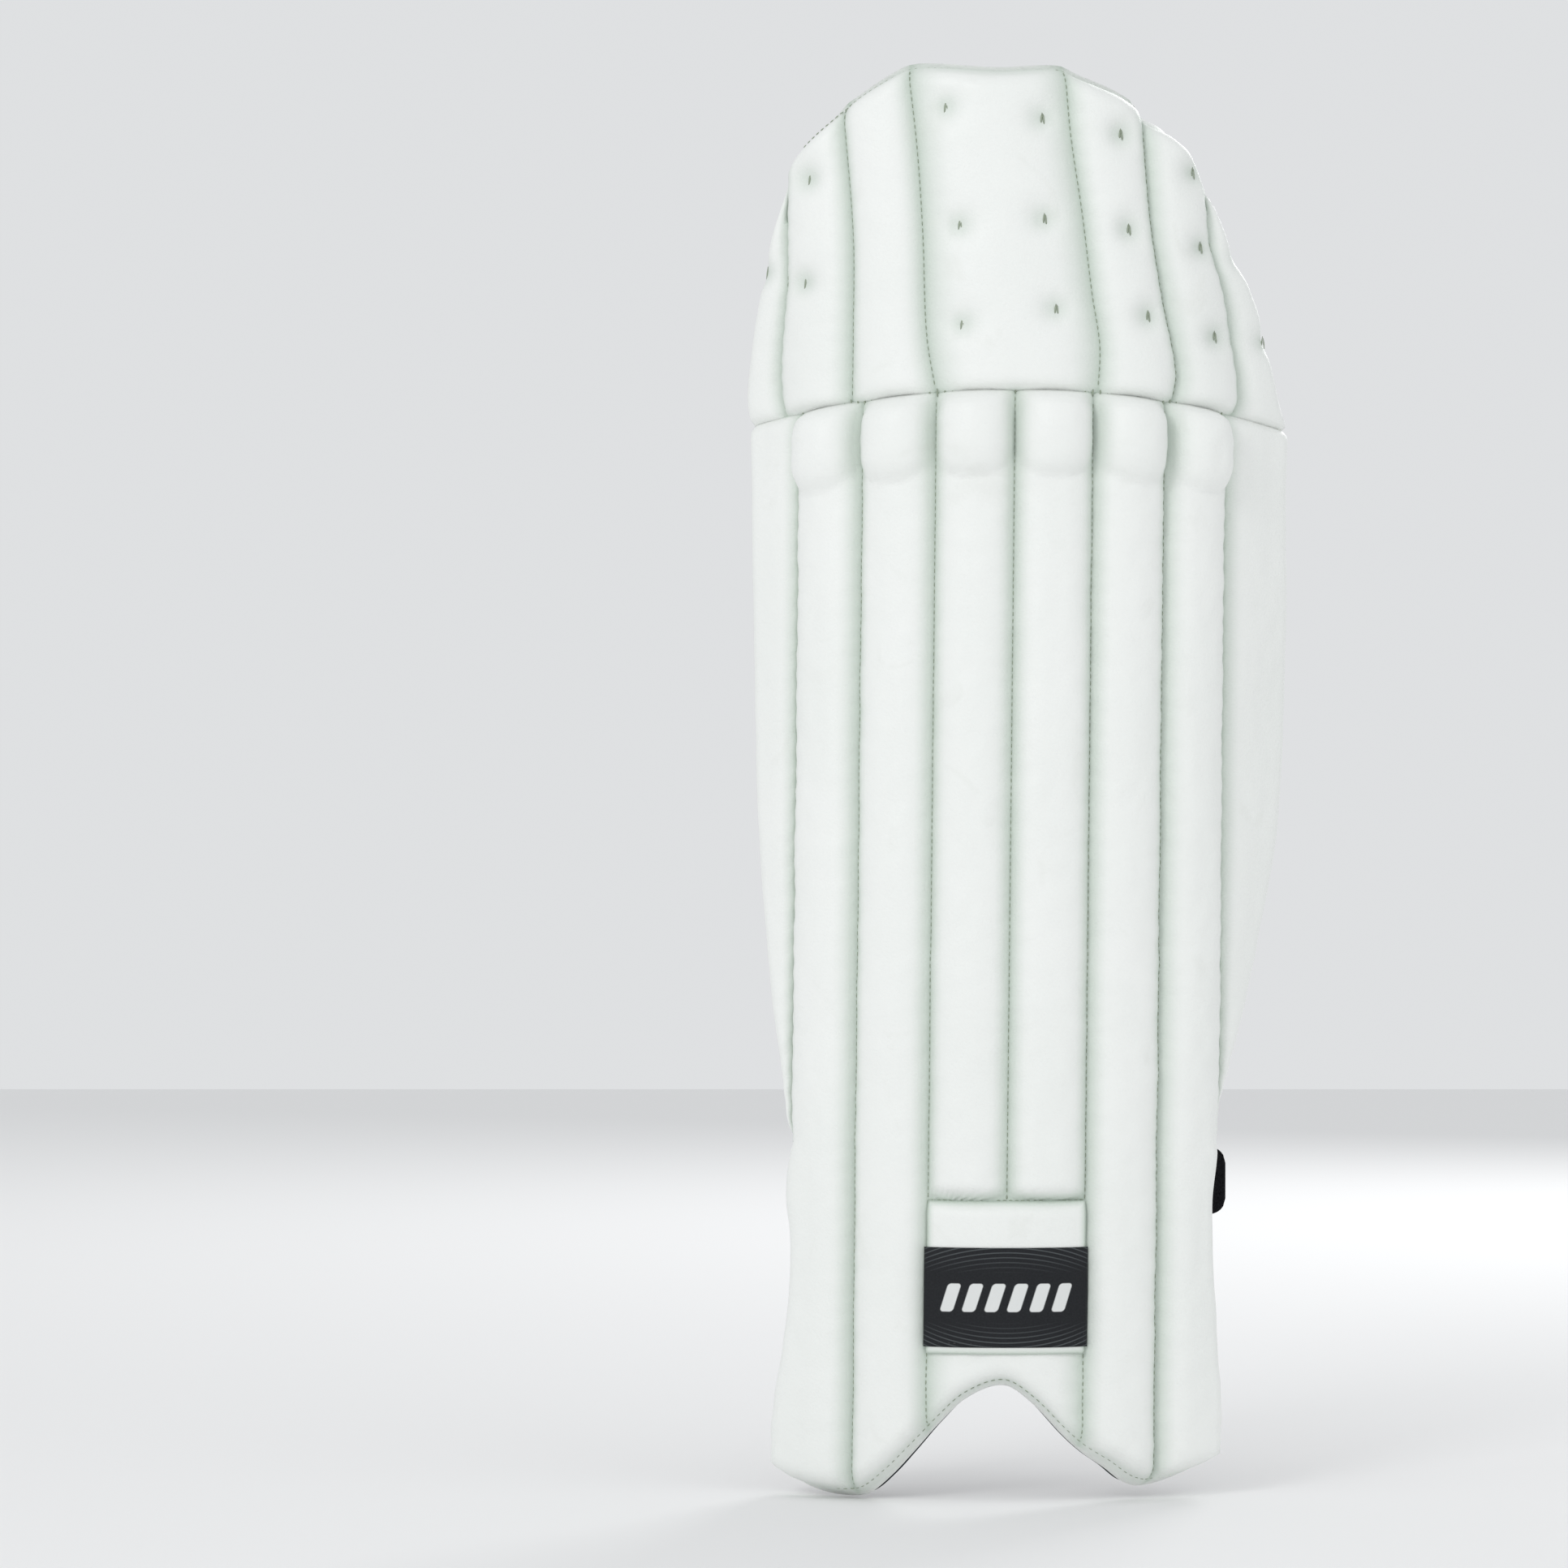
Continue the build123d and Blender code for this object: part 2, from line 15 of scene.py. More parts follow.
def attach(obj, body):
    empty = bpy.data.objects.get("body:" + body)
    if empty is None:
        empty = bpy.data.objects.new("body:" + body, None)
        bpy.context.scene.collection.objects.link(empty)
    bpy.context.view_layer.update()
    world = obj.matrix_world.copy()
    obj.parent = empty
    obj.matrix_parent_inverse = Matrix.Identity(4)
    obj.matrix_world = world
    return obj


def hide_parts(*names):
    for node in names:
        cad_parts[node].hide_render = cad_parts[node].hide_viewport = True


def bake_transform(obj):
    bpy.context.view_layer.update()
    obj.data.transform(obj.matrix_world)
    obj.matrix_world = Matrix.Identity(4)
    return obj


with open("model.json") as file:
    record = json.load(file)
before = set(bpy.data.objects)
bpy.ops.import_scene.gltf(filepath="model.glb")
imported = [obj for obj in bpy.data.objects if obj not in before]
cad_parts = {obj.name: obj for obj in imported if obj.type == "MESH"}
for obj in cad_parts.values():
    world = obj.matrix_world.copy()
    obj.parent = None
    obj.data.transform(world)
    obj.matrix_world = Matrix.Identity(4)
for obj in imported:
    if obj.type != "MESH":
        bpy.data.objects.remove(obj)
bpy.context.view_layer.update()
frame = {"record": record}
MM = 0.001
JOINTS = {joint["name"]: joint for joint in frame["record"]["behaviour"]["joints"]}

# ---- Driving sizes, in millimetres ----
KNEE_Z = JOINTS["knee_flex"]["pos_m"][2] / MM
KNEE_DROP = 15.5  # of the knee seam, at the wide rim
HALF_WIDTH = 125
SEAM_R = 129
HOLLOW_Y = 68
CHANNEL = 34.2  # arc length between two channel seams
SHIN_TURN = math.radians(45.6)
TOP_TURN = math.radians(47)
WING_TURN = math.radians(49)
SHIN_LEAN = -5
TOP_LEAN = -12.5
TOP_Z = 622
WING_FOOT = 154
RIM_LIFT = -6.5  # where the front cover and the lining meet at a free edge
BACK_LIFT = -11.3
PATCH_Z = (64, 130)
LABEL_Z = (67, 110)
STITCH = 3.0  # pitch of a running seam
COVER = 1.4  # thickness of the front's cloth
LINING = 1.2
FOLD = 4.5  # width of the turned-over cloth
FLANGE = 3  # flat rim outside the padding
CROWN = 9  # height of a full channel over its seams
LOW_CROWN = 5  # the same under the label
WING_CROWN = 5
TOP_CROWN = 7.5
EDGE_ROUND = 9  # how far in from a rim the padding is full
KNEE_ROUND = 6  # how far from the knee seam it is full
TUCK = 1.2  # of the cloth past the knee seam
SHIN_EDGE = SEAM_R * SHIN_TURN  # arc length to the wing seams
QUILT_LINES = (-69, -38, 38, 69)  # arc lengths of the lining's upright seams
LABEL_HALF = 35
PATCH_HALF = 34

# Pairs of points in metres either side of a joint, handed with the bodies of threads that cross it; those
# threads are baked in place, not moved with the joint's second body
KNEE_BLEND = ((0, 0, 0.480), (0, 0, 0.540))
WING_BLEND = ((0, 0, 0.468), (0, 0, 0.412))


# ---- Curves ----
def clamp(value, low=0.0, high=1.0):
    return max(low, min(high, value))


def mix(a, b, t):
    return a + (b - a) * t


def ease(t):
    t = clamp(t)
    return t * t * (3 - 2 * t)


def along(points, at):
    """Height at this place of a smooth line through points that run from left to right."""
    if at <= points[0][0]:
        return points[0][1]
    if at >= points[-1][0]:
        return points[-1][1]
    n = next(k for k in range(len(points) - 1) if at <= points[k + 1][0])
    (x0, y0), (x1, y1) = points[n], points[n + 1]
    before = points[n - 1] if n else points[n]
    after = points[n + 2] if n + 2 < len(points) else points[n + 1]
    span = x1 - x0
    rise0 = (y1 - before[1]) / (x1 - before[0]) * span
    rise1 = (after[1] - y0) / (after[0] - x0) * span
    t = (at - x0) / span
    return (
        (2 * t**3 - 3 * t * t + 1) * y0
        + (t**3 - 2 * t * t + t) * rise0
        + (3 * t * t - 2 * t**3) * y1
        + (t**3 - t * t) * rise1
    )


def rough(x, z, size, seed=0.0):
    """Smooth noise, about -1 to 1, with features of this size."""
    return noise.noise(Vector((x / size, z / size, seed)))


# Free edges and seams: the foot's height across the pad, and each upright line's place by height
FOOT = (
    (-107, 52), (-105, 31), (-102, 20), (-94, 9), (-87, 3), (-76, 0), (-66, 1.5), (-56, 9.5), (-46, 20),
    (-35, 32), (-22, 43.5), (-5, 49), (8, 41.5), (23, 27), (32, 19.5), (42, 13), (51, 6.5), (60, 4.5),
    (76, 9), (86, 15), (91, 23), (94, 50),
)  # fmt: skip
SHIN_LEFT = ((30, -115), (42, -113), (74, -107), (108, -104.7), (133, -107.5), (160, -104), (190, -102.6))
SHIN_RIGHT = ((24, 108), (36, 108.5), (66, 105), (100, 102), (128, 101.5), (150, 104.5), (175, 102.6))
NARROW_RIM = ((150, -99), (189, -103.6), (215, -107), (248, -110), (272, -112), (315, -114), (464, -116.5))
WIDE_RIM = (
    (150, 91), (168, 93), (181, 95.5), (218, 105.6), (260, 114.8), (285, 119), (315, 121.6), (373, 124),
    (438, 123.8), (466, 125),
)  # fmt: skip
TOP_SEAMS = (
    (
        (460, -118), (466, -117), (481, -117.7), (497, -116.3), (522, -112.9), (543, -108.7), (561, -103.5),
        (583, -98.6),
    ),
    ((466, -98), (489, -100.3), (531, -97.8), (583, -97.6)),
    ((474, -70), (504, -69.6), (548, -69.6), (606, -74.2)),
    ((478, -33.9), (504, -38.1), (548, -39.8), (585, -42.3), (622, -46.5)),
    ((479, 35.8), (499, 36.7), (522, 33.3), (556, 29.1), (590, 24.1), (621, 21.4)),
    ((476, 68.5), (489, 70.3), (524, 63.6), (559, 58.5), (606, 55)),
    ((468, 95.5), (480, 98), (497, 96.3), (522, 92), (548, 85.4), (574, 82.9)),
    (
        (460, 126), (466, 125.2), (474, 121.6), (499, 115.6), (522, 108.9), (544, 98.7), (562, 90.5),
        (574, 83.6),
    ),
)  # fmt: skip
TOP_EDGE = (
    (-98.6, 583), (-89.3, 592), (-77.6, 603), (-74, 606.5), (-50.7, 620.5), (-40, 622.5), (-8, 620.5),
    (19.9, 621.6), (27, 618.5), (53, 607.5), (56.5, 601), (67, 595.5), (79, 585), (84, 574), (92, 574),
)  # fmt: skip
TUFTS = (
    (-29.9, 602), (10.9, 597), (44.3, 591), (76.2, 576), (-86.8, 573),
    (-23.9, 551), (11.9, 553.6), (47.8, 549.8), (79.4, 543.5), (98.4, 540.6), (-106.8, 534),
    (-88.5, 528.4), (-22.8, 508.3), (16.9, 514.7), (56.2, 512.5), (85.7, 504.8), (109.6, 504.1),
)  # fmt: skip


def knee(x):
    """Height of the knee seam."""
    return KNEE_Z - KNEE_DROP * (x / HALF_WIDTH) ** 2


def shin_shift(z):
    return SHIN_LEAN * (1 - z / KNEE_Z)


def top_shift(z):
    return TOP_LEAN * max(0.0, z - KNEE_Z) / (TOP_Z - KNEE_Z)


def on_front(turn, s, lift):
    """Plan point on the pad before it leans: an arc, then straight wings; lift is outwards."""
    side = -1 if s < 0 else 1
    angle = min(abs(s) / SEAM_R, turn)
    over = abs(s) - SEAM_R * turn
    x, y = SEAM_R * math.sin(angle), HOLLOW_Y - SEAM_R * math.cos(angle)
    out = angle
    if over > 0:
        x += over * math.cos(WING_TURN)
        y += over * math.sin(WING_TURN)
        out = mix(angle, WING_TURN, ease(over / 6))
    return side * (x + lift * math.sin(out)), y - lift * math.cos(out)


def on_shin(s, z, lift):
    x, y = on_front(SHIN_TURN, s, lift)
    return Vector((x + shin_shift(z), y, z))


def on_top(s, z, lift):
    x, y = on_front(TOP_TURN, s, lift)
    return Vector((x + top_shift(z), y, z))


def arc_length(turn, x):
    """Arc length across the front at this place, before the lean."""
    edge = SEAM_R * math.sin(turn)
    if abs(x) <= edge:
        return SEAM_R * math.asin(x / SEAM_R)
    return math.copysign(SEAM_R * turn + (abs(x) - edge) / math.cos(WING_TURN), x)


def round_over(distance, radius):
    """0 at an edge, rising like a quarter circle to 1 at this radius from it."""
    near = 1 - clamp(distance / radius)
    return math.sqrt(1 - near * near)


# ---- Shader maths ----
class Value:
    """A number that varies over a surface. Arithmetic on it adds Math nodes."""

    def __init__(self, paint, socket):
        self.paint, self.socket = paint, socket

    def math(self, operation, *others, first=True):
        terms = (self, *others) if first else (*others, self)
        node = self.paint.node("ShaderNodeMath", {"operation": operation}, dict(enumerate(terms)))
        return Value(self.paint, node.outputs[0])

    def __add__(self, other):
        return self.math("ADD", other)

    __radd__ = __add__

    def __sub__(self, other):
        return self.math("SUBTRACT", other)

    def __rsub__(self, other):
        return self.math("SUBTRACT", other, first=False)

    def __mul__(self, other):
        return self.math("MULTIPLY", other)

    __rmul__ = __mul__

    def __truediv__(self, other):
        return self.math("DIVIDE", other)

    def __pow__(self, other):
        return self.math("POWER", other)

    def __abs__(self):
        return self.math("ABSOLUTE")

    def wrap(self, low, high):
        return self.math("WRAP", high, low)

    def sine(self):
        return self.math("SINE")

    def smallest(self, other):
        return self.math("MINIMUM", other)

    def largest(self, other):
        return self.math("MAXIMUM", other)

    def below(self, level, soft=0.0):
        """1 where this is under level, with an edge this soft."""
        if not soft:
            return self.math("LESS_THAN", level)
        return 1 - self.above(level, soft)

    def above(self, level, soft=0.0):
        if not soft:
            return self.math("GREATER_THAN", level)
        scaled = (self - (level - soft)) / (2 * soft)
        return scaled.largest(0.0).smallest(1.0)


class Paint:
    """One material, with the constants of its shader set when it is made."""

    def __init__(self, name, **constants):
        self.material = bpy.data.materials.new(name)
        self.material.use_nodes = True
        self.tree = self.material.node_tree
        self.shader = self.tree.nodes["Principled BSDF"]
        for key, value in constants.items():
            self.shader.inputs[key.replace("_", " ")].default_value = value

    def node(self, kind, settings=None, inputs=None):
        node = self.tree.nodes.new(kind)
        for key, value in (settings or {}).items():
            setattr(node, key, value)
        for key, value in (inputs or {}).items():
            if isinstance(value, Value):
                self.tree.links.new(value.socket, node.inputs[key])
            elif isinstance(value, bpy.types.NodeSocket):
                self.tree.links.new(value, node.inputs[key])
            else:
                node.inputs[key].default_value = value
        return node

    def cloth(self):
        """Cut-cloth place in metres, across and up, from the piece's own UV map."""
        split = self.node("ShaderNodeSeparateXYZ", inputs={0: self.node("ShaderNodeTexCoord").outputs["UV"]})
        return Value(self, split.outputs["X"]), Value(self, split.outputs["Y"])

    def space(self):
        """Place on the object in metres."""
        coords = self.node("ShaderNodeTexCoord").outputs["Object"]
        split = self.node("ShaderNodeSeparateXYZ", inputs={0: coords})
        return [Value(self, split.outputs[axis]) for axis in "XYZ"]

    def mark(self, name):
        """A number painted on the mesh."""
        return Value(self, self.node("ShaderNodeAttribute", {"attribute_name": name}).outputs["Fac"])

    def point(self, x=0.0, y=0.0, z=0.0):
        return self.node("ShaderNodeCombineXYZ", inputs={"X": x, "Y": y, "Z": z}).outputs[0]

    def noise(self, place, scale, detail=2.0, distortion=0.0):
        inputs = {"Vector": place, "Scale": scale, "Detail": detail, "Distortion": distortion}
        return Value(self, self.node("ShaderNodeTexNoise", inputs=inputs).outputs["Fac"])

    def cells(self, place, scale, feature="F1"):
        node = self.node("ShaderNodeTexVoronoi", {"feature": feature}, {"Vector": place, "Scale": scale})
        return Value(self, node.outputs["Distance"])

    def blend(self, share, low, high):
        """Colour from low to high; each is a colour or a socket."""
        node = self.node("ShaderNodeMix", {"data_type": "RGBA"}, {"Factor": share})
        for key, colour in ((6, low), (7, high)):
            if isinstance(colour, bpy.types.NodeSocket):
                self.tree.links.new(colour, node.inputs[key])
            else:
                node.inputs[key].default_value = (*colour, 1)
        return node.outputs[2]

    def coat(self, colour=None, rough=None, height=None, depth=0.0004, strength=1.0):
        """Links the colour, the roughness and a bump of this depth in metres."""
        if colour is not None:
            self.tree.links.new(colour, self.shader.inputs["Base Color"])
        if rough is not None:
            self.tree.links.new(rough.socket, self.shader.inputs["Roughness"])
        if height is not None:
            inputs = {"Height": height, "Distance": depth, "Strength": strength}
            bump = self.node("ShaderNodeBump", inputs=inputs)
            self.tree.links.new(bump.outputs[0], self.shader.inputs["Normal"])
        return self.material


def weave(across, up, pitch):
    """Height of a plain weave with this thread pitch in metres."""
    turn = 2 * math.pi / pitch
    warp, weft = (across * turn).sine(), (up * turn).sine()
    return warp * weft * 0.5 + 0.5


def white_cover():
    paint = Paint("white_coated_cover", Specular_IOR_Level=0.35, Coat_Roughness=0.4)
    x, y, z = paint.space()
    place = paint.point(x, y, z)
    pebble = paint.cells(place, 900, "SMOOTH_F1")
    fine = paint.noise(place, 1500, 3)
    crumple = paint.noise(place, 70, 4, 0.6)
    cloud = paint.noise(place, 14, 3)
    # The seam mark is painted shade: the white turns green-grey in the grooves, down the channel flanks, in
    # the tuft dimples and along the sewn rims
    seam = paint.mark("seam")
    base = paint.blend(cloud, (0.875, 0.90, 0.87), (0.935, 0.945, 0.925))
    shaded = paint.blend(seam * 0.72, base, (0.47, 0.58, 0.48))
    scuffs = paint.noise(place, 35, 6, 1.2).above(0.66, 0.05) * 0.12
    colour = paint.blend(scuffs, shaded, (0.70, 0.72, 0.66))
    rough = cloud * 0.12 + 0.40 + scuffs
    height = pebble * -0.45 + fine * 0.35 + crumple * 1.6
    return paint.coat(colour, rough, height, 0.0005, 0.55)


def black_nylon():
    paint = Paint("quilted_black_nylon", Specular_IOR_Level=0.22)
    across, up = paint.cloth()
    place = paint.point(across, up)
    threads = weave(across, up, 0.0007)
    slub = paint.noise(paint.point(across, up * 0.12), 900, 2)
    crumple = paint.noise(place, 60, 5, 1.0)
    centre = abs(across + 0.004).below(0.035, 0.0015) * up.below(0.13, 0.004)
    comb = paint.cells(paint.point(across, up * 1.4), 420, "DISTANCE_TO_EDGE").below(0.12, 0.05)
    base = paint.blend(slub, (0.003, 0.006, 0.010), (0.008, 0.014, 0.022))
    colour = paint.blend(comb * centre * 0.5, base, (0.045, 0.055, 0.068))
    rough = crumple * 0.18 + 0.32 + centre * 0.12
    height = threads * 0.25 + crumple * 1.3 + comb * centre * 0.7
    return paint.coat(colour, rough, height, 0.0006, 0.6)


def thread(name, light, dark):
    paint = Paint(name, Roughness=0.7)
    x, y, z = paint.space()
    twist = ((x + y + z * 2) * 9000).sine() * 0.5 + 0.5
    wear = paint.noise(paint.point(x, y, z), 90, 3)
    return paint.coat(paint.blend(twist * 0.5 + wear * 0.5, light, dark), None, twist, 0.0002, 0.5)


INK = (0.007, 0.009, 0.011)
RED = (0.66, 0.008, 0.030)


def strokes(paint, x, z, size, lean, seed, wide=0.05, often=0.5):
    """Short curved brush marks of this size in metres."""
    place = paint.point(x + z * lean, z * 1.3, seed)
    line = abs(paint.noise(place, 1 / size, 1, 1.3) - 0.5).below(wide, 0.004)
    broken = paint.noise(paint.point(x, z, seed + 3.0), 0.9 / size, 1, 0.4).above(often, 0.005)
    return line * broken


def outlined(inside, gap, line):
    """Masks of a shape from its signed distance: the filled middle and a line round it."""
    core = inside.below(0.0, 0.00015)
    ring = abs(inside - gap).below(line / 2, 0.00015)
    return core.largest(ring)


def slanted_bars(x, z, count, pitch, half_wide, half_high, slant):
    """Signed distance to a row of slanted bars with rounded ends, centred on the origin."""
    leaned = x - z * slant
    whole = pitch * count
    local = abs((leaned + whole / 2).wrap(0.0, pitch) - pitch / 2)
    dx = (local - half_wide).largest(0.0)
    dz = (abs(z) - half_high).largest(0.0)
    near = (dx * dx + dz * dz) ** 0.5
    outside_row = (abs(leaned) - (whole / 2 - pitch * 0.02)).above(0.0)
    return near - pitch * 0.16 + outside_row


def printed_cotton():
    paint = Paint("printed_cotton", Specular_IOR_Level=0.1, Sheen_Weight=0.03)
    across, up = paint.cloth()
    x, _, z = paint.space()
    rim = paint.mark("rim")
    threads = weave(across, up, 0.00055)
    slub = paint.noise(paint.point(across * 0.2, up), 1400, 2)
    cloud = paint.noise(paint.point(across, up), 25, 4)
    cloth = paint.blend(threads * 0.35 + slub * 0.65, (0.68, 0.735, 0.735), (0.87, 0.90, 0.89))
    cloth = paint.blend(cloud * 0.3, cloth, (0.68, 0.73, 0.76))
    # Painted shade: the seam mark darkens the cotton in the grooves between the lining's puffs
    cloth = paint.blend(paint.mark("seam") ** 2.0 * 0.5, cloth, (0.36, 0.41, 0.43))
    # Two sets of three stripes, which droop towards the rims; the upper set leaves the middle panel bare
    wobble = paint.noise(paint.point(across, up), 45, 2) * 0.0018 - 0.0009
    low = up + across * across * 1.5 + wobble - 0.5015
    high = up + across * across * 0.95 + wobble - 0.5715
    ends = abs(across + 0.002).above(0.0365, 0.0003)

    def stripes(rise):
        return abs(rise.wrap(-pitch / 2, pitch / 2)).below(0.00165, 0.00012) * abs(rise).below(0.0068)

    def band(rise):
        return abs(rise).below(0.0068, 0.0001)

    pitch = 0.0047
    red = (stripes(low) + stripes(high) * ends) * (band(low) + band(high) * ends).smallest(1.0)
    # Brush marks thicken towards the top edge and, faintly, along the hem
    ragged = paint.noise(paint.point(x, z, 4.0), 45, 2) * 0.022 - 0.011
    edge = (rim + ragged).below(0.021)
    hem = (up + across * across * 1.7 - 0.4925).below(0.0)
    black = strokes(paint, x, z, 0.012, 0.5, 1.0, 0.05, 0.50) * edge.largest(hem)
    pink = strokes(paint, x, z, 0.011, -0.6, 7.0, 0.05, 0.53) * edge.largest(hem)
    # A plain badge of nested diamonds, and a row of slanted bars under it
    shift = x + 0.0055
    diamond = abs(shift) * 0.9 + abs(z - 0.5785) - 0.0135
    outer_line = abs(diamond - 0.0050).below(0.0014, 0.0002)
    badge = outlined(diamond + 0.0065, 0.0085, 0.0022).largest(outer_line)
    bars = slanted_bars(x + 0.014, z - 0.5365, 6, 0.0165, 0.0034, 0.0100, 0.25).below(0.0, 0.0002)
    plate_x = (abs(x + 0.014) - 0.048).largest(0.0)
    plate_z = (abs(z - 0.5365) - 0.0085).largest(0.0)
    plate = (plate_x * plate_x + plate_z * plate_z) ** 0.5
    frame_line = abs(plate - 0.0082).below(0.0017, 0.0002)
    ink = black.largest(badge).largest(bars).largest(frame_line) * (0.82 + slub * 0.25).smallest(1.0)
    colour = paint.blend(red, cloth, RED)
    colour = paint.blend(pink * 0.9, colour, RED)
    colour = paint.blend(ink, colour, INK)
    crumple = paint.noise(paint.point(across, up), 90, 4, 0.8)
    height = threads * 0.3 + slub * 0.25 + crumple * 1.2
    return paint.coat(colour, cloud * 0.1 + 0.75, height, 0.0006, 0.5)


def printed_cover(low_z, high_z, middle_x):
    """Brush-stroke print on the wide bolster, dense at both ends, with plain shapes down its middle."""
    paint = Paint("brush_print_cover", Specular_IOR_Level=0.15)
    x, y, z = paint.space()
    up = (z - low_z) / (high_z - low_z)
    ends = abs(up - 0.47) * 2
    shift = x - middle_x
    sides = abs(shift) / 0.048
    dense = (ends ** 2.4 + sides ** 3.0 * 0.22).smallest(1.0)
    place = paint.point(x * 0.62, z * 1.35, 2.0)
    blots = paint.noise(place, 120, 1.5, 1.4)
    marks = paint.noise(paint.point(x * 0.55, z * 1.5, 9.0), 105, 1.5, 1.6)
    red = (blots + dense * 0.36).above(0.64, 0.006)
    black_at = marks + (dense - 0.62) * 0.42
    black = black_at.above(0.60, 0.006)
    halo = black_at.above(0.575, 0.004)
    grain = paint.noise(paint.point(x, y, z), 1500, 2)
    cloud = paint.noise(paint.point(x, y, z), 30, 3)
    white = paint.blend(cloud, (0.82, 0.86, 0.83), (0.93, 0.94, 0.92))
    colour = paint.blend(red, white, (0.70, 0.010, 0.034))
    colour = paint.blend(halo, colour, (0.86, 0.88, 0.86))
    colour = paint.blend(black, colour, INK)
    # Stacked rounded blocks with a white keyline and a dark surround
    rise = z - (low_z + high_z) / 2 + 0.004
    mid = rise.wrap(-0.026, 0.026)
    side_gap = (abs(shift) - 0.013).largest(0.0)
    end_gap = (abs(mid + abs(shift) * 0.55 - 0.004) - 0.0085).largest(0.0)
    block = (side_gap * side_gap + end_gap * end_gap) ** 0.5 - 0.0055
    within = abs(rise).below(0.128)
    surround = block.below(0.0068, 0.0002) * within
    keyline = abs(block - 0.0026).below(0.0009, 0.0002) * within
    pale = block.below(0.010, 0.0003) * within
    colour = paint.blend(pale, colour, white)
    colour = paint.blend(surround * (0.86 + grain * 0.2).smallest(1.0), colour, INK)
    colour = paint.blend(keyline, colour, (0.85, 0.87, 0.86))
    crumple = paint.noise(paint.point(x, y, z), 60, 4, 0.8)
    return paint.coat(colour, cloud * 0.1 + 0.5, grain * 0.5 + crumple * 1.8, 0.0005, 0.5)


def dark_panel(middle_x):
    """Charcoal print with worn edges and a column of slanted white bars."""
    paint = Paint("dark_printed_panel", Specular_IOR_Level=0.15)
    x, y, z = paint.space()
    grain = paint.noise(paint.point(x, y, z), 1300, 3)
    cloud = paint.noise(paint.point(x, y, z), 22, 5, 0.5)
    worn = grain.above(0.67, 0.03) * cloud.above(0.5, 0.1) * 0.25
    base = paint.blend(cloud, (0.011, 0.014, 0.017), (0.028, 0.032, 0.036))
    base = paint.blend(worn, base, (0.35, 0.37, 0.37))
    shift = x - middle_x
    bars = slanted_bars(z - 0.312, shift, 5, 0.036, 0.0035, 0.0135, 0.35).below(0.0, 0.0002)
    colour = paint.blend(bars * 0.93, base, (0.85, 0.87, 0.86))
    return paint.coat(colour, cloud * 0.12 + 0.5, grain * 0.6 + cloud * 1.4, 0.0004, 0.5)


def woven_label_cloth():
    paint = Paint("woven_label", Specular_IOR_Level=0.2)
    across, up = paint.cloth()
    threads = weave(across, up, 0.0005)
    grain = paint.noise(paint.point(across, up), 1200, 2)
    base = paint.blend(grain, (0.008, 0.009, 0.011), (0.022, 0.024, 0.028))
    centre = abs(up - 0.0885)
    rings = ((across * across * 6 + centre) * (2 * math.pi / 0.0021)).sine().above(0.75, 0.2)
    arcs = rings * centre.above(0.0145, 0.004)
    colour = paint.blend(arcs * 0.28, base, (0.25, 0.28, 0.29))
    row = slanted_bars(across, up - 0.0885, 6, 0.0092, 0.0013, 0.0046, 0.3).below(0.0, 0.0002)
    colour = paint.blend(row * 0.95, colour, (0.86, 0.88, 0.87))
    return paint.coat(colour, grain * 0.1 + 0.5, threads * 0.6 + grain * 0.4, 0.0003, 0.6)


def pile():
    paint = Paint("loop_pile_tape", Specular_IOR_Level=0.06)
    across, up = paint.cloth()
    place = paint.point(across, up)
    loops = paint.cells(place, 1100)
    tufted = paint.noise(place, 620, 4, 0.3)
    base = paint.blend(tufted, (0.004, 0.004, 0.005), (0.022, 0.022, 0.025))
    lint = paint.noise(place, 700, 2).above(0.74, 0.02) * 0.25
    colour = paint.blend(lint, base, (0.25, 0.26, 0.28))
    return paint.coat(colour, tufted * 0.1 + 0.85, loops * -0.9 + tufted * 1.5, 0.0009, 0.8)


def elastic_webbing(foot_z, high):
    """Black twill elastic with a pale stripe and a dotted grey one near its top edge."""
    paint = Paint("elastic_webbing", Specular_IOR_Level=0.2)
    across, up = paint.cloth()
    rise = (up - foot_z * MM) / (high * MM)
    twill = ((across + up * 0.8) * (2 * math.pi / 0.0011)).sine() * 0.5 + 0.5
    ribs = (up * (2 * math.pi / 0.0013)).sine() * 0.5 + 0.5
    grain = paint.noise(paint.point(across, up), 1100, 2)
    base = paint.blend(twill * 0.6 + grain * 0.4, (0.004, 0.004, 0.005), (0.020, 0.020, 0.022))
    pale = abs(rise - 0.80).below(0.055, 0.006)
    dotted = abs(rise - 0.655).below(0.085, 0.006)
    dots = ((across * (2 * math.pi / 0.0016)).sine() * (up * (2 * math.pi / 0.0016)).sine()).above(-0.1, 0.25)
    colour = paint.blend(dotted * (dots * 0.75 + 0.15), base, (0.34, 0.35, 0.34))
    colour = paint.blend(pale * (0.85 + ribs * 0.15), colour, (0.58, 0.74, 0.74))
    return paint.coat(colour, grain * 0.1 + 0.6, twill * 0.6 + ribs * 0.5 + grain * 0.3, 0.0005, 0.7)


def plain_inside(name, light, dark, scale, rough, stretch=1.0):
    """Foam, cane or hook tape: grain drawn out along the leg by stretch."""
    paint = Paint(name, Roughness=rough)
    x, y, z = paint.space()
    grain = paint.noise(paint.point(x, y, z * (1 / stretch)), scale, 4)
    pores = paint.cells(paint.point(x, y, z * (1 / stretch)), scale * 1.5)
    return paint.coat(paint.blend(grain, light, dark), None, grain + pores * 0.5, 0.0004, 0.6)


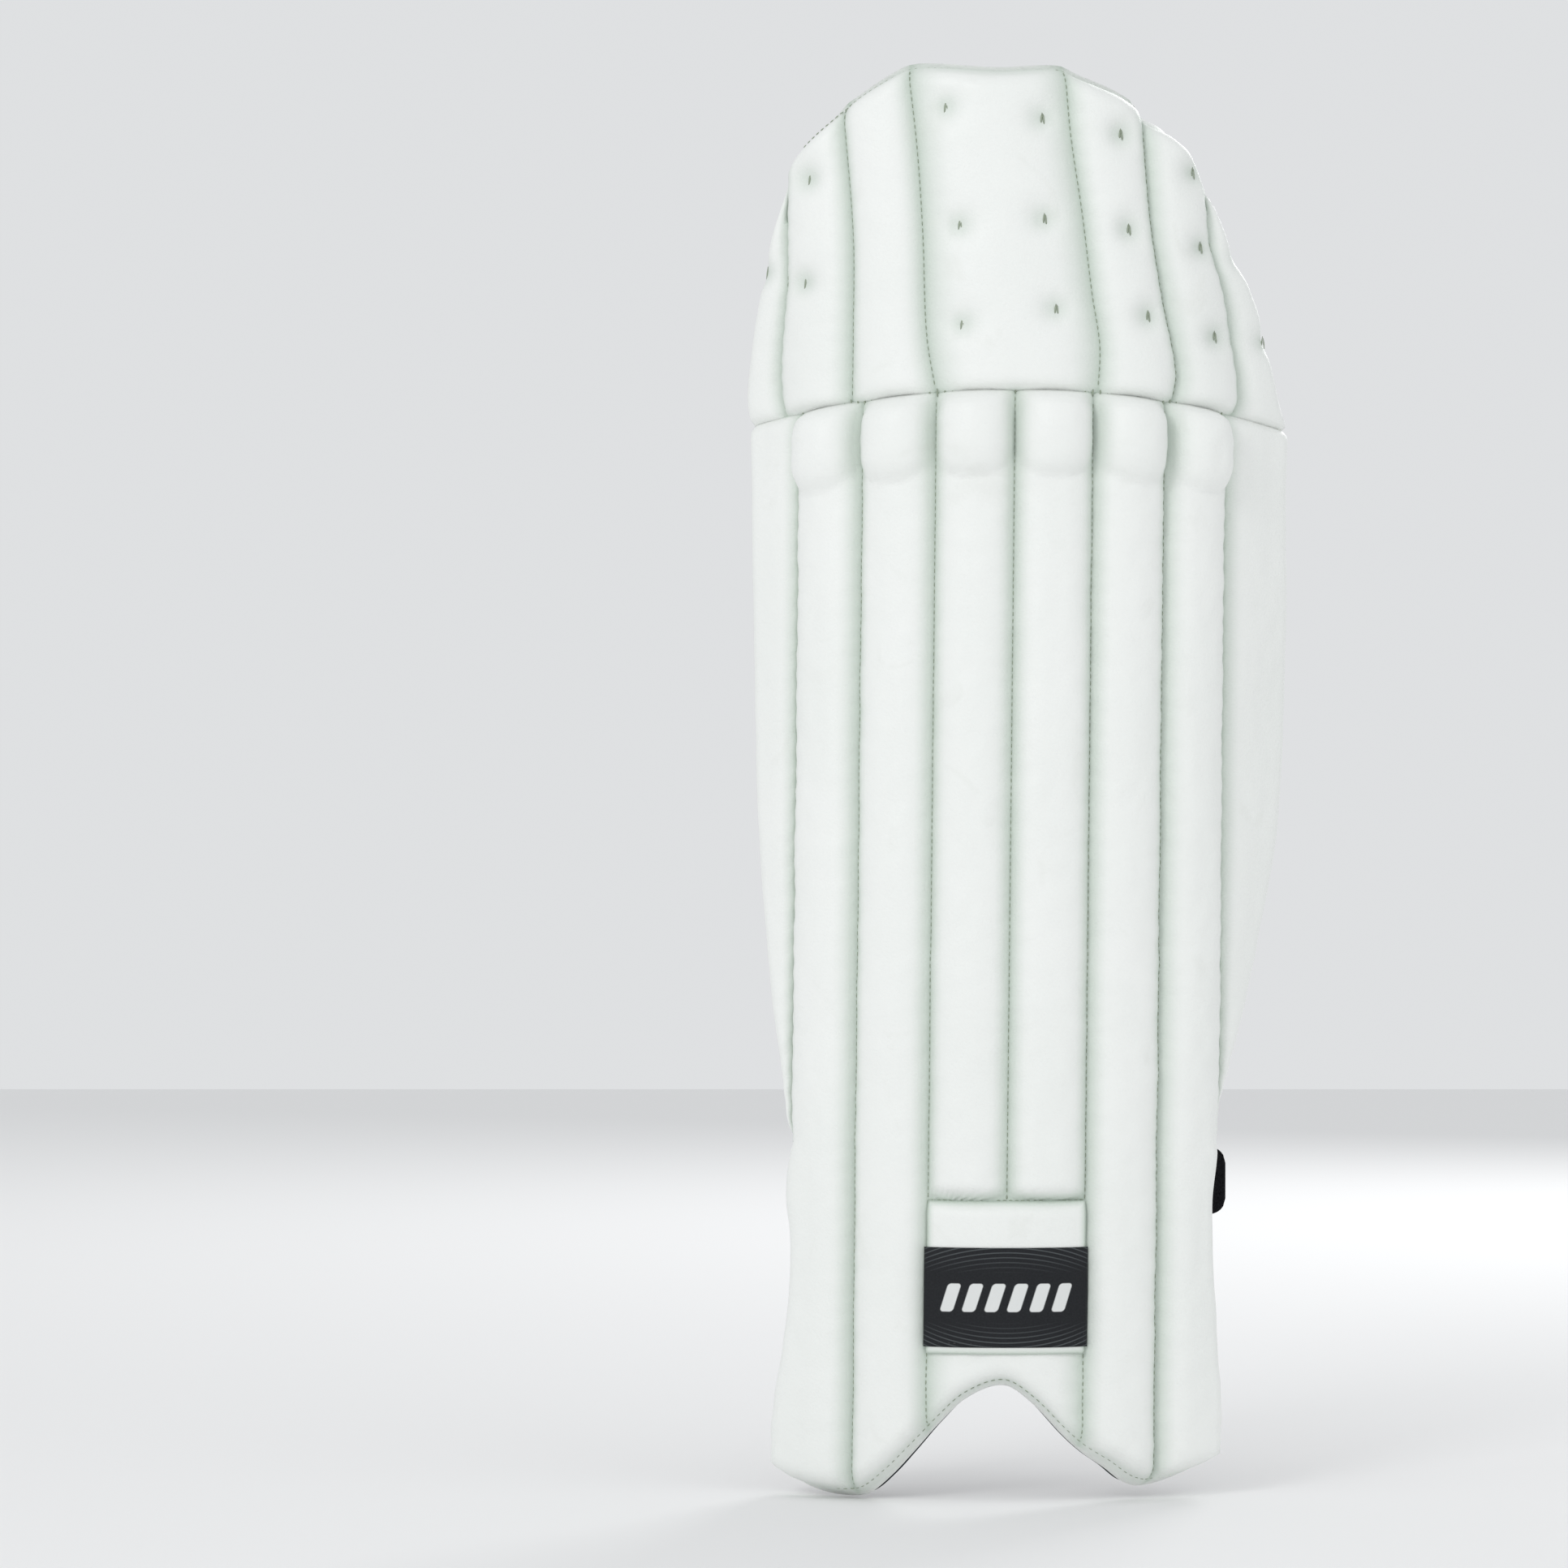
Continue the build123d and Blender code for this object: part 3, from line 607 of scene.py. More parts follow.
# ---- Sewn surfaces ----
def shown(name, mesh, paint, thick=0.0):
    """Puts a finished mesh in the scene, with a wall of this many millimetres behind its surface."""
    for polygon in mesh.polygons:
        polygon.use_smooth = True
    mesh.materials.append(paint)
    piece = bpy.data.objects.new(name, mesh)
    bpy.context.scene.collection.objects.link(piece)
    if thick:
        wall = piece.modifiers.new("wall", "SOLIDIFY")
        wall.thickness = thick * MM
        wall.offset = -1
    return piece


class Sewing:
    """Grids placed by a function and sewn together where they touch."""

    def __init__(self):
        self.bm = bmesh.new()
        self.uv = self.bm.loops.layers.uv.new("UVMap")
        self.seam = self.bm.verts.layers.float.new("seam")
        self.rim = self.bm.verts.layers.float.new("rim")

    def panel(self, columns, rows, place, backwards=False):
        """place(u, v) gives a point, its place on the cut cloth, its seam mark (where shade is painted in
        grooves and on flanks) and how far in it is.
        """
        verts = bmesh.ops.create_grid(self.bm, x_segments=columns, y_segments=rows, size=0.5)["verts"]
        cut = {}
        for vert in verts:
            point, flat, seam, rim = place(clamp(vert.co.x + 0.5), clamp(vert.co.y + 0.5))
            vert.co = point * MM
            vert[self.seam], vert[self.rim] = seam, rim * MM
            cut[vert] = (flat[0] * MM, flat[1] * MM)
        faces = list({face for vert in verts for face in vert.link_faces})
        for face in faces:
            for loop in face.loops:
                loop[self.uv].uv = cut[loop.vert]
        if backwards:
            bmesh.ops.reverse_faces(self.bm, faces=faces)

    def piece(self, name, paint, thick=0.0, closed=False):
        bmesh.ops.remove_doubles(self.bm, verts=self.bm.verts, dist=0.02 * MM)
        if closed:
            bmesh.ops.holes_fill(self.bm, edges=[edge for edge in self.bm.edges if edge.is_boundary])
        mesh = bpy.data.meshes.new(name)
        self.bm.to_mesh(mesh)
        self.bm.free()
        return shown(name, mesh, paint, thick)


def lobe(t, power=2.6, rise=0.8):
    """Cross section of a stuffed channel: 0 at its seams, 1 in its middle."""
    return (1 - min(1.0, abs(t)) ** power) ** rise


def fold_lift(inside):
    """Lift of a free edge's turned-over cloth, this far in from the edge."""
    return RIM_LIFT - (RIM_LIFT - BACK_LIFT + 0.8) * round_over(inside, 4)


def rim_lift(lift, edge):
    """Lift near a free edge: a flat rim, a sewn line, then the padding."""
    rim = RIM_LIFT + 1.6 * round_over(edge, 1.5)
    sewn = 0.8 * math.exp(-(((edge - FLANGE) / 1.0) ** 2))
    return mix(rim - sewn, lift, round_over(edge - FLANGE, EDGE_ROUND) if edge > FLANGE else 0.0)


def rim_mark(edge):
    # Seam mark of painted shade along the sewn line in from a rim
    return 0.55 * math.exp(-(((edge - FLANGE) / 1.6) ** 2))


def foot(s):
    return along(FOOT, on_shin(s, 30, 0).x)


def at_knee(lift, distance):
    """Lift this far from the knee seam; under 0 the cloth tucks in behind the other side's."""
    return lift * round_over(max(0.0, distance), KNEE_ROUND) - 1.8 * clamp((TUCK - distance) / (2 * TUCK))


def shin_edges(z):
    """Arc lengths of the shin panel's two side edges; its wings take over above WING_FOOT."""
    share = ease((z - WING_FOOT + 6) / 12)
    return mix(along(SHIN_LEFT, z), -SHIN_EDGE, share), mix(along(SHIN_RIGHT, z), SHIN_EDGE, share)


def shin_lift(s, z, free=0):
    """Lift of the stuffed shin front, and its seam mark, which paints shade into its grooves and down its
    flanks; free is 1 where its sides are free edges.
    """
    channel = max(-3, min(2, math.floor(s / CHANNEL)))
    wavy = s + 0.35 * rough(channel * 60, z, 15, 3)
    t = clamp(2 * (wavy / CHANNEL - channel) - 1, -1, 1)
    x = on_shin(s, z, 0).x
    if free and channel in (-3, 2) and t * channel > 0:
        t = 0.0
    shape = lobe(t)
    full = CROWN + 0.7 * rough(channel * 40, z, 55, 1)
    lift = full * shape
    across = abs(z - PATCH_Z[1])
    if abs(s) < CHANNEL:
        low = lobe(s / CHANNEL, 3)
        share = ease((z - PATCH_Z[1] + 3) / 6)
        lift = mix(LOW_CROWN * low, lift, share)
        shape = mix(low, shape, share)
        pinch = 1 - 0.9 * math.exp(-((across / 3.2) ** 2))
        lift *= pinch
        shape *= pinch
    roll = 1 - abs(t) ** 2.6 - abs((z - knee(x) + 18) / 18.5) ** 2.6
    if roll > 0:
        lift += 7.5 * roll**0.7
    pucker = math.sin(z * 0.62 + 4 * rough(s, z, 30, 5)) * 0.32 * (1 - shape) * min(1.0, shape * 6)
    lift += pucker * 1.5 + 0.7 * rough(s, z, 34, 2) + 0.4 * rough(s * 1.6, z, 11, 4) * (0.4 + shape)
    return at_knee(lift, knee(x) - z), 1 - min(1.0, shape * 1.25 + 0.02)


def shin_front_point(s, z, q, p, out=0.0):
    """Point on the shin's cover, q in from its side edge and p in from its foot; under 0 is behind it."""
    inside = min(abs(q), abs(p))
    free = 1 - ease((z - WING_FOOT + 4) / 8)
    if q < 0 or p < 0:
        lift = mix(-abs(q) if q < 0 else fold_lift(inside), fold_lift(inside), free if q < 0 else 1) - out
        return on_shin(s, z, lift), 0.6 * (1 - free)
    sewn_lift, sewn_seam = shin_lift(s, z)
    open_lift, open_seam = shin_lift(s, z, 1)
    lift = mix(rim_lift(sewn_lift, p), rim_lift(open_lift, min(q, p)), free)
    seam = mix(max(sewn_seam, rim_mark(p)), max(open_seam, rim_mark(min(q, p))), free)
    return on_shin(s, z, lift + out), seam


def shin_panel(number):
    """Placing function of one of the six upright shin panels, from the narrow side."""
    first, last = number == 0, number == 5

    def place(u, v):
        guess = CHANNEL * (number - 3 + u)
        foot_z = foot(guess)
        low, high = foot_z - FOLD, knee(on_shin(guess, KNEE_Z, 0).x) + TUCK
        z = mix(low, high, v)
        p = z - foot_z
        z_on = foot_z + abs(p)
        left, right = shin_edges(z_on)
        start = left - FOLD if first else CHANNEL * (number - 3)
        end = right + FOLD if last else CHANNEL * (number - 2)
        s = mix(start, end, u)
        q = min(s - left, right - s) if first or last else 99.0
        free = 1 - ease((z_on - WING_FOOT + 4) / 8)
        if q < 0:
            s = (left - q * free) if first else (right + q * free)
        point, seam = shin_front_point(s, z_on, q, p)
        return point, (s, z), seam, min(abs(q), abs(p))

    return place


def shin_front():
    sewing = Sewing()
    for number in range(6):
        sewing.panel(20 if number in (0, 5) else 16, 220, shin_panel(number))
    piece = sewing.piece("shin_front", WHITE, COVER)
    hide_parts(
        "shin_front_cover", "instep_padding",
        *(f"channel_padding_{n}" for n in range(1, 7)), *(f"knee_roll_{n}" for n in range(1, 7)),
    )  # fmt: skip
    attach(piece, "shin")
    return piece


def wing_rim(side, z):
    """Arc length of a wing's rim."""
    rim = arc_length(SHIN_TURN, along(NARROW_RIM if side < 0 else WIDE_RIM, z) - shin_shift(z))
    return mix(side * SHIN_EDGE, rim, round_over(z - WING_FOOT + 2, 12))


def wing_lift(side, s, z):
    seam_gap, rim_gap = abs(s) - SHIN_EDGE, abs(wing_rim(side, z)) - abs(s)
    width = max(1.0, seam_gap + rim_gap)
    t = 2 * seam_gap / width - 1
    shape = lobe(min(0.0, t), 3)
    x = on_shin(s, z, 0).x
    wave = 0.8 * rough(s, z, 38, 8 + side) + 0.3 * rough(s * 1.5, z, 12, 6)
    lift = (WING_CROWN + wave) * shape
    pucker = math.sin(z * 0.55 + 3 * rough(s, z, 26, 9)) * 0.35
    lift += pucker * math.exp(-((seam_gap / 5) ** 2)) * min(1, seam_gap)
    edge = min(rim_gap, z - WING_FOOT + 2)
    # The second value is the seam mark: painted shade on the padding's flank and along the sewn rim
    return rim_lift(at_knee(lift, knee(x) - z), edge), max(1 - shape * 1.25, rim_mark(edge))


def wing(side, name):
    body = f"{name}_wing"

    def front(u, v):
        low, near_top = WING_FOOT - 2, 466
        spread = abs(wing_rim(side, near_top)) - SHIN_EDGE + FOLD + 3
        over = min((u if side > 0 else 1 - u) * spread - 3, spread - 3 - FOLD)
        top = knee(on_shin(side * (SHIN_EDGE + over), near_top, 0).x) + TUCK
        z = mix(low, top, v)
        rim = wing_rim(side, z)
        reach = abs(rim) - SHIN_EDGE + FOLD * clamp((z - low) / 8)
        gone = (u if side > 0 else 1 - u) * (reach + 3) - 3
        q = abs(rim) - SHIN_EDGE - gone
        if gone < 0:
            return on_shin(side * SHIN_EDGE, z, gone), (side * (SHIN_EDGE + gone), z), 1.0, q
        if q < 0:
            s = side * (abs(rim) + q)
            return on_shin(s, z, fold_lift(-q)), (side * (SHIN_EDGE + gone), z), 0.0, -q
        s = side * (SHIN_EDGE + gone)
        lift, seam = wing_lift(side, s, z)
        return on_shin(s, z, lift), (s, z), seam, q

    sewing = Sewing()
    sewing.panel(34, 170, front)
    cover = sewing.piece(f"{body}_front", WHITE, COVER)
    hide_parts(f"{body}_cover", f"{body}_padding")

    def back(u, v):
        z = mix(WING_FOOT + 3, knee(115) + 2, v)
        rim = wing_rim(side, z)
        gone = (u if side > 0 else 1 - u) * (abs(rim) - SHIN_EDGE - 2.2)
        s = side * (SHIN_EDGE + gone)
        puff = 1.6 * lobe(2 * u - 1, 2.2) * (0.8 + 0.5 * rough(s, z, 30, 12))
        near_rim = abs(rim) - SHIN_EDGE - gone
        puff += 1.4 * round_over(near_rim - 2, 3) - 1.3 * math.exp(-(((near_rim - 6.5) / 1.6) ** 2))
        lift = mix(-3.5, BACK_LIFT - puff, round_over(gone, 9)) + 0.3 * rough(s, z, 9, 14)
        return on_shin(s, z, lift), (s, z), 0.0, 0.0

    sewing = Sewing()
    sewing.panel(22, 150, back, backwards=True)
    lining = sewing.piece(f"{body}_back", BLACK, LINING)
    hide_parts(f"{body}_lining")
    wide = (abs(wing_rim(side, 440)) - SHIN_EDGE) * MM
    for piece in (cover, lining):
        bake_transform(piece)
    (KNEE_Z - WING_FOOT - 10) * MM
    wide * 0.30 * 0.72


def lining_lift(s, z):
    """Lift of the quilted lining, and its seam mark."""
    left, right = shin_edges(z)
    free = 1 - ease((z - WING_FOOT + 4) / 8)
    low = 1 - ease((z - 138) / 14)
    stitch = min(abs(s - line) for line in QUILT_LINES)
    puff = 3.6 * (1 - math.exp(-stitch / 7)) * low
    crease = 0.8 * rough(s * 0.6, z, 13, 17) + 1.0 * rough(s, z, 32, 18)
    lift = BACK_LIFT - puff - crease * low
    gap = min(s - left, right - s)
    lift = mix(mix(-3.5, lift, round_over(gap, 9)), lift, free)
    lift = mix(BACK_LIFT - 1.5, lift, round_over(min(z - foot(s), mix(99, gap, free)) - 1.5, 7))
    return lift, math.exp(-stitch / 2) * low


def shin_lining():
    def place(u, v):
        guess = mix(-SHIN_EDGE, SHIN_EDGE, u)
        z = mix(foot(guess) + 2.2, knee(guess * 0.9), v)
        left, right = shin_edges(z)
        inset = 1.8 - 1.8 * ease((z - WING_FOOT + 4) / 8)
        s = mix(left + inset, right - inset, u)
        lift, seam = lining_lift(s, z)
        return on_shin(s, z, lift), (s, z), seam, 0.0

    sewing = Sewing()
    sewing.panel(110, 190, place, backwards=True)
    piece = sewing.piece("shin_quilted_lining", BLACK, LINING)
    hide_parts("shin_lining")
    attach(piece, "shin")
    return piece


def shin_board():
    """The stiff backing between the channels and the lining, set in from every edge."""

    def place(u, v):
        s = mix(-SHIN_EDGE + 8, SHIN_EDGE - 8, u)
        z = mix(max(foot(s) + 16, 30), knee(s * 0.9) - 8, v)
        return on_shin(s, z, -3.2), (s, z), 0.0, 0.0

    sewing = Sewing()
    sewing.panel(40, 60, place)
    piece = sewing.piece("shin_stiff_backing", BOARD_FOAM, 5.5)
    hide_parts("shin_backing_board")
    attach(piece, "shin")
    return piece


def binding():
    """Black tape behind the foot edge."""

    def place(u, v):
        s = mix(-105, 102.5, u)
        foot_z = foot(s)
        back = mix(11.4, 1.4, v)
        lift = min(fold_lift(back), mix(RIM_LIFT, BACK_LIFT - 0.8, round_over(back, 3))) - 1.1
        return on_shin(s, foot_z + back, lift), (s, back), 0.0, 0.0

    sewing = Sewing()
    sewing.panel(150, 8, place, backwards=True)
    piece = sewing.piece("foot_edge_binding", BLACK, 0.8)
    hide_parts("foot_binding")
    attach(piece, "shin")
    return piece


def under_patch(s, z):
    """Lift of the low padding under the label."""
    pinch = 1 - 0.8 * math.exp(-(((z - PATCH_Z[1]) / 3.2) ** 2))
    return LOW_CROWN * lobe(s / (CHANNEL + 3), 3) * pinch


def patch(name, stands_for, half_wide, z_low, z_high, out, paint, slot_name, thick):
    """A flat piece sewn on the middle of the shin's front."""

    def place(u, v):
        s, z = mix(-half_wide, half_wide, u), mix(z_low, z_high, v)
        gap = min(half_wide - abs(s), z - z_low, z_high - z)
        lift = under_patch(s, z) + out * round_over(gap + 0.5, 1.5) + 0.25 * rough(s, z, 20, 21) + 0.5
        # On a white patch, the seam mark paints shade in from its edges
        return on_shin(s, z, lift), (s, z), 1 - clamp(gap / 3), gap

    sewing = Sewing()
    sewing.panel(56, 48, place)
    piece = sewing.piece(name, paint, thick)
    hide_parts(stands_for)
    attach(piece, "shin")
    return piece


# ---- Top hat ----
def top_seam(number, z):
    return arc_length(TOP_TURN, along(TOP_SEAMS[number], z) - top_shift(z))


def top_edge(x):
    return along(TOP_EDGE, x)


def top_shape(number, left, right, s, power, rise):
    """How full a panel of the top hat is: 0 at its seams, 1 in its middle. An outer one is full to its rim."""
    t = 2 * (s - left) / max(1.0, right - left) - 1
    if number == 0:
        t = max(0.0, t)
    if number == 6:
        t = min(0.0, t)
    return lobe(t, power, rise)


def top_panel(s, z):
    """Number of the panel that holds this place, and the arc lengths of its two seams."""
    edges = [top_seam(number, z) for number in range(8)]
    number = max(0, min(6, sum(s > edge for edge in edges) - 1))
    return number, edges[number], edges[number + 1]


def top_cover_lift(number, s, z, shape):
    """Lift of the top hat's stuffed front before its tufts pull it in."""
    crown = WING_CROWN if number in (0, 6) else TOP_CROWN
    return (crown + 0.7 * rough(s, z, 30, 31) + 0.35 * rough(s, z, 11, 32)) * shape


def dimple(x, z, reach=7.0):
    return sum(math.exp(-((x - a) ** 2 + (z - b) ** 2) / reach**2) for a, b in TUFTS)


def top_front():
    def panel(number):
        first, last = number == 0, number == 6

        def place(u, v):
            knee_x = mix(TOP_SEAMS[number][0][1], TOP_SEAMS[number + 1][0][1], u)
            edge_x = mix(TOP_SEAMS[number][-1][1], TOP_SEAMS[number + 1][-1][1], u)
            low, high = knee(knee_x) - TUCK, top_edge(edge_x)
            z = mix(low, high + FOLD, v)
            p = high - z
            z_on = high - abs(p)
            left, right = top_seam(number, z_on), top_seam(number + 1, z_on)
            taper = clamp((right - left) / 10)
            start = left - FOLD * first * taper
            end = right + FOLD * last * taper
            s = mix(start, end, u)
            q = (s - left) if first else (right - s) if last else 99.0
            if q < 0:
                s = left - q if first else right + q
            inside = min(abs(q), abs(p))
            flat = (s, z)
            if q < 0 or p < 0:
                return on_top(s, z_on, fold_lift(inside)), flat, 0.0, inside
            shape = top_shape(number, left, right, s, 2.4, 0.75)
            x = on_top(s, z_on, 0).x
            pinch = dimple(x, z_on)
            lift = top_cover_lift(number, s, z, shape)
            lift += math.sin(z * 0.7 + 3 * rough(s, z, 25, 33)) * 0.35 * (1 - shape) * min(1.0, shape * 6)
            lift = rim_lift(at_knee(lift * (1 - 0.62 * min(1.0, pinch)), z - low - TUCK), min(p, q))
            # Seam mark of painted shade on the flanks, in the tuft dimples and along the sewn rim
            seam = max(1 - min(1.0, shape * 1.25), 0.6 * min(1.0, pinch) ** 2, rim_mark(min(p, q)))
            return on_top(s, z_on, lift), flat, seam, inside

        return place

    sewing = Sewing()
    for number in range(7):
        sewing.panel(14 if number in (0, 6) else 20, 84, panel(number))
    piece = sewing.piece("top_front", WHITE, COVER)
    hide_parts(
        "top_front_cover", "top_narrow_wing_padding", "top_wide_wing_padding",
        *(f"top_padding_{n}" for n in range(1, 6)),
    )  # fmt: skip
    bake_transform(piece)
    return piece


def hem(x):
    """Height of the cotton lining's lower edge."""
    droop = 11 * clamp((abs(x) - 30) / 65) ** 1.5 + 12 * clamp((abs(x) - 88) / 25)
    return 486 - droop - 2.2 * abs(math.sin(x * math.pi / 15)) + 0.9 * rough(x, 0, 9, 45)


def top_lining_point(x_share, v, out=0.0):
    """Place on the cotton lining: across the hat as a share, and up it."""
    s_low = mix(top_seam(0, 468) + 1.6, top_seam(7, 468) - 1.6, x_share)
    x_low = on_top(s_low, 485, 0).x
    low = hem(x_low * mix(1, 0.68, 1 - ease((abs(x_low + 1) - 87) / 9)))
    edge_x = mix(TOP_EDGE[0][0] + 1.5, TOP_EDGE[-1][0] - 7.5, x_share)
    high = top_edge(edge_x) - 1.6
    z = mix(low, high, v)
    left, right = top_seam(0, z) + 1.6, top_seam(7, z) - 1.6
    s = mix(left, right, x_share)
    x = on_top(s, z, 0).x
    gap = min(s - left, right - s, high - z)
    number, panel_left, panel_right = top_panel(s, z)
    swell = top_shape(number, panel_left, panel_right, s, 2.2, 0.7)
    puff = (4.2 * swell + 0.5) * round_over(gap - 1, 8) * (1 - 0.6 * min(1.0, dimple(x, z, 8)))
    crease = 0.7 * rough(s, z * 0.7, 14, 41) + 0.6 * rough(s, z, 30, 42)
    lift = BACK_LIFT - 0.9 - puff - crease * round_over(gap, 10) - out
    over_rolls = 1 - ease((abs(x + 1) - 87) / 9)
    lift -= 2.4 * math.exp(-(((z - low) / 8) ** 2))
    roll = BOLSTER_R - SEAM_R - BOLSTER_THICK * (0.1 + 0.9 * round_over(488.4 - z, 30)) - 3.2 - crease - out
    lift = mix(lift, roll, over_rolls * (1 - ease((z - 488) / 14)))
    to_rim = max(0.0, high - z) if abs(x) < 84 else 60.0
    # The last value is the seam mark: painted shade between the lining's puffs
    return on_top(s, z, lift), (s, z), to_rim, 1 - min(1.0, swell * 1.3)


def top_lining():
    def place(u, v):
        point, flat, gap, seam = top_lining_point(u, v)
        return point, flat, seam, gap

    sewing = Sewing()
    sewing.panel(120, 70, place, backwards=True)
    piece = sewing.piece("top_cotton_lining", COTTON, LINING)
    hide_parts("top_back_lining")
    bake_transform(piece)
    return piece


def top_board():
    def place(u, v):
        s = mix(-SEAM_R * TOP_TURN + 10, SEAM_R * TOP_TURN - 10, u)
        z = mix(knee(s * 0.9) + 14, 568 + 34 * clamp(1.3 - abs(s) / 80), v)
        return on_top(s, z, -3.5), (s, z), 0.0, 0.0

    sewing = Sewing()
    sewing.panel(30, 20, place)
    piece = sewing.piece("top_stiff_backing", BOARD_FOAM, 4.0)
    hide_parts("top_stiffener")
    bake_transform(piece)
    return piece


# ---- Bolsters: stuffed rolls either side of the shin ----
BOLSTER_R = 101
BOLSTER_THICK = 14.5


class Bolster:
    """A pillow that is bent round the leg. Its places are an arc length from its own middle and a height."""

    def __init__(self, middle, half, low, high, seed):
        self.middle, self.half = math.radians(middle), half
        self.low, self.high, self.seed = low, high, seed

    def point(self, radial, gone, z):
        angle = self.middle + gone / BOLSTER_R
        radius = BOLSTER_R + radial
        x = radius * math.sin(angle)
        droop = 11 * clamp((abs(x) - 42) / 40) ** 1.4 * ease((z - self.high + 60) / 60)
        return Vector((x + shin_shift(z), HOLLOW_Y - radius * math.cos(angle), z - droop))

    def size(self, z):
        """Half the thickness and half the width at this height; both fall off at the sewn ends."""
        full = round_over(z - self.low + 0.4, 17) * round_over(self.high - z + 0.4, 30)
        thick = BOLSTER_THICK * (0.10 + 0.90 * full) + 0.6 * rough(z, 0, 40, self.seed)
        return thick, self.half * (0.955 + 0.045 * full)

    def wrinkle(self, gone, z):
        end = min(z - self.low, self.high - z)
        gather = math.sin(gone * 0.52 + 3 * rough(gone, z, 30, self.seed + 1)) * 1.3 * math.exp(-end / 15)
        soft = 0.9 * rough(gone, z, 42, self.seed + 2)
        return gather + soft + 0.42 * rough(gone * 1.3, z * 0.8, 13, self.seed + 3)

    def around(self, low, high, out=0.0):
        """Placing function right round the roll, between two heights."""

        def place(u, v):
            turn = 2 * math.pi * (u if u < 1 else 0.0)
            z = mix(low, high, v)
            thick, half = self.size(z)
            c, s = math.cos(turn), math.sin(turn)
            gone = (half + out) * math.copysign(abs(c) ** 0.78, c)
            radial = (thick + out) * math.copysign(abs(s) ** 0.86, s)
            creased = 1 if s < 0 else 0.3
            radial += math.copysign(min(1.0, abs(s) * 1.5), s) * self.wrinkle(gone, z) * creased
            return self.point(radial, gone, z), (u * 4 * half, z), 0.0, 0.0

        return place

    def leg_face(self, gone, z, out):
        """Point on the side that faces the leg, this far out from the cloth."""
        thick, half = self.size(z)
        c = min(0.995, abs(gone) / half) ** (1 / 0.78)
        radial = -(thick + out) * (1 - c * c) ** 0.43
        radial -= min(1.0, 1.5 * math.sqrt(1 - c * c)) * self.wrinkle(gone, z)
        return self.point(radial - out * 0.2, gone, z)


ROLL_FOOT, ROLL_TOP, BAND_FOOT = 151, 488, 464.6
WIDE_ROLL = Bolster(31.5, 47.2, ROLL_FOOT, ROLL_TOP, 51)
NARROW_ROLL = Bolster(-27.1, 54.9, ROLL_FOOT, ROLL_TOP, 61)


def bolsters():
    sewing = Sewing()
    sewing.panel(112, 150, WIDE_ROLL.around(ROLL_FOOT, BAND_FOOT + 2.4))
    wide = sewing.piece("wide_bolster", PRINT, 0, closed=True)
    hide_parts("wide_bolster_print", "wide_bolster_core")
    sewing = Sewing()
    sewing.panel(112, 14, WIDE_ROLL.around(BAND_FOOT, ROLL_TOP, 0.7))
    band = sewing.piece("wide_bolster_white_band", WHITE, 0, closed=True)
    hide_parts("wide_bolster_band")
    sewing = Sewing()
    sewing.panel(124, 160, NARROW_ROLL.around(ROLL_FOOT, ROLL_TOP))
    narrow = sewing.piece("narrow_bolster", WHITE, 0, closed=True)
    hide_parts("narrow_bolster_cover", "narrow_bolster_core")

    def panel(u, v):
        z = mix(154, 461, v)
        lean = mix(-9, 0, v)
        corner = 15 * (1 - round_over(461 - z, 15)) + 5 * (1 - round_over(z - 154, 5))
        gone = mix(-26.5 + lean + corner, 42 + lean - corner, u)
        gap = min(u, 1 - u) * 68
        return NARROW_ROLL.leg_face(gone, z, 0.35 + 0.5 * round_over(gap, 2)), (gone, z), 0.0, 0.0

    sewing = Sewing()
    sewing.panel(64, 160, panel, backwards=True)
    dark = sewing.piece("narrow_bolster_dark_panel", DARK, 0.6)
    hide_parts("narrow_bolster_panel")
    for piece, slot_name in ((wide, "printed_cover"), (band, "white_cover"), (narrow, "white_cover")):
        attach(piece, "shin")
    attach(dark, "shin")
    return dark


# ---- Straps ----
LOWER_STRAP_Z = (120.5, 151)
UPPER_STRAP_Z = (377, 407)
STRAP_FROM, STRAP_JOIN, STRAP_TO = -86, 12, 94
STRAP_Y = -12
STRAP_BOW = 7
LOWER_PATCH_LIFT = BACK_LIFT - 5.1
UPPER_PATCH_DEPTH, UPPER_HOOK_DEPTH, UPPER_TAPE_DEPTH = 13.1, 14.2, 16.4  # behind the seam line of the front
UPPER_STITCH = 25.5  # along the wing from its seam
UPPER_ROOT, UPPER_END = 23.6, 54


def lower_line(x, behind, z):
    """Point on the lower strap's inner face, and behind it."""
    half = (STRAP_TO - STRAP_FROM) / 2
    bow = STRAP_BOW * (1 - ((x - (STRAP_FROM + STRAP_TO) / 2) / half) ** 2)
    ripple = 0.5 * rough(x, z, 18, 71) + 0.35 * math.sin(x * 0.11)
    return Vector((x, STRAP_Y + bow + behind + ripple, z))


def upper_line(gone, depth, z):
    """Point over the wide wing's lining: along the wing from its seam, and this far behind its seam line."""
    turn = SHIN_EDGE + gone
    return on_shin(turn, z, -depth)


def tape(name, stands_for, line, span, heights, paint, body, thick, cells, corner=0.0):
    """A length of tape over line(along, z), with rounded corners at its free end."""

    def place(u, v):
        low, high = heights
        middle, half = (low + high) / 2, (high - low) / 2
        gone = mix(*span, u)
        cut = corner * (1 - round_over(span[1] - gone, corner)) if corner else 0.0
        z = middle + (half - cut) * (2 * v - 1)
        return line(gone, z), (gone, z), 0.0, 0.0

    sewing = Sewing()
    sewing.panel(*cells, place, backwards=True)
    piece = sewing.piece(name, paint, thick)
    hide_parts(stands_for)
    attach(piece, body)
    return piece


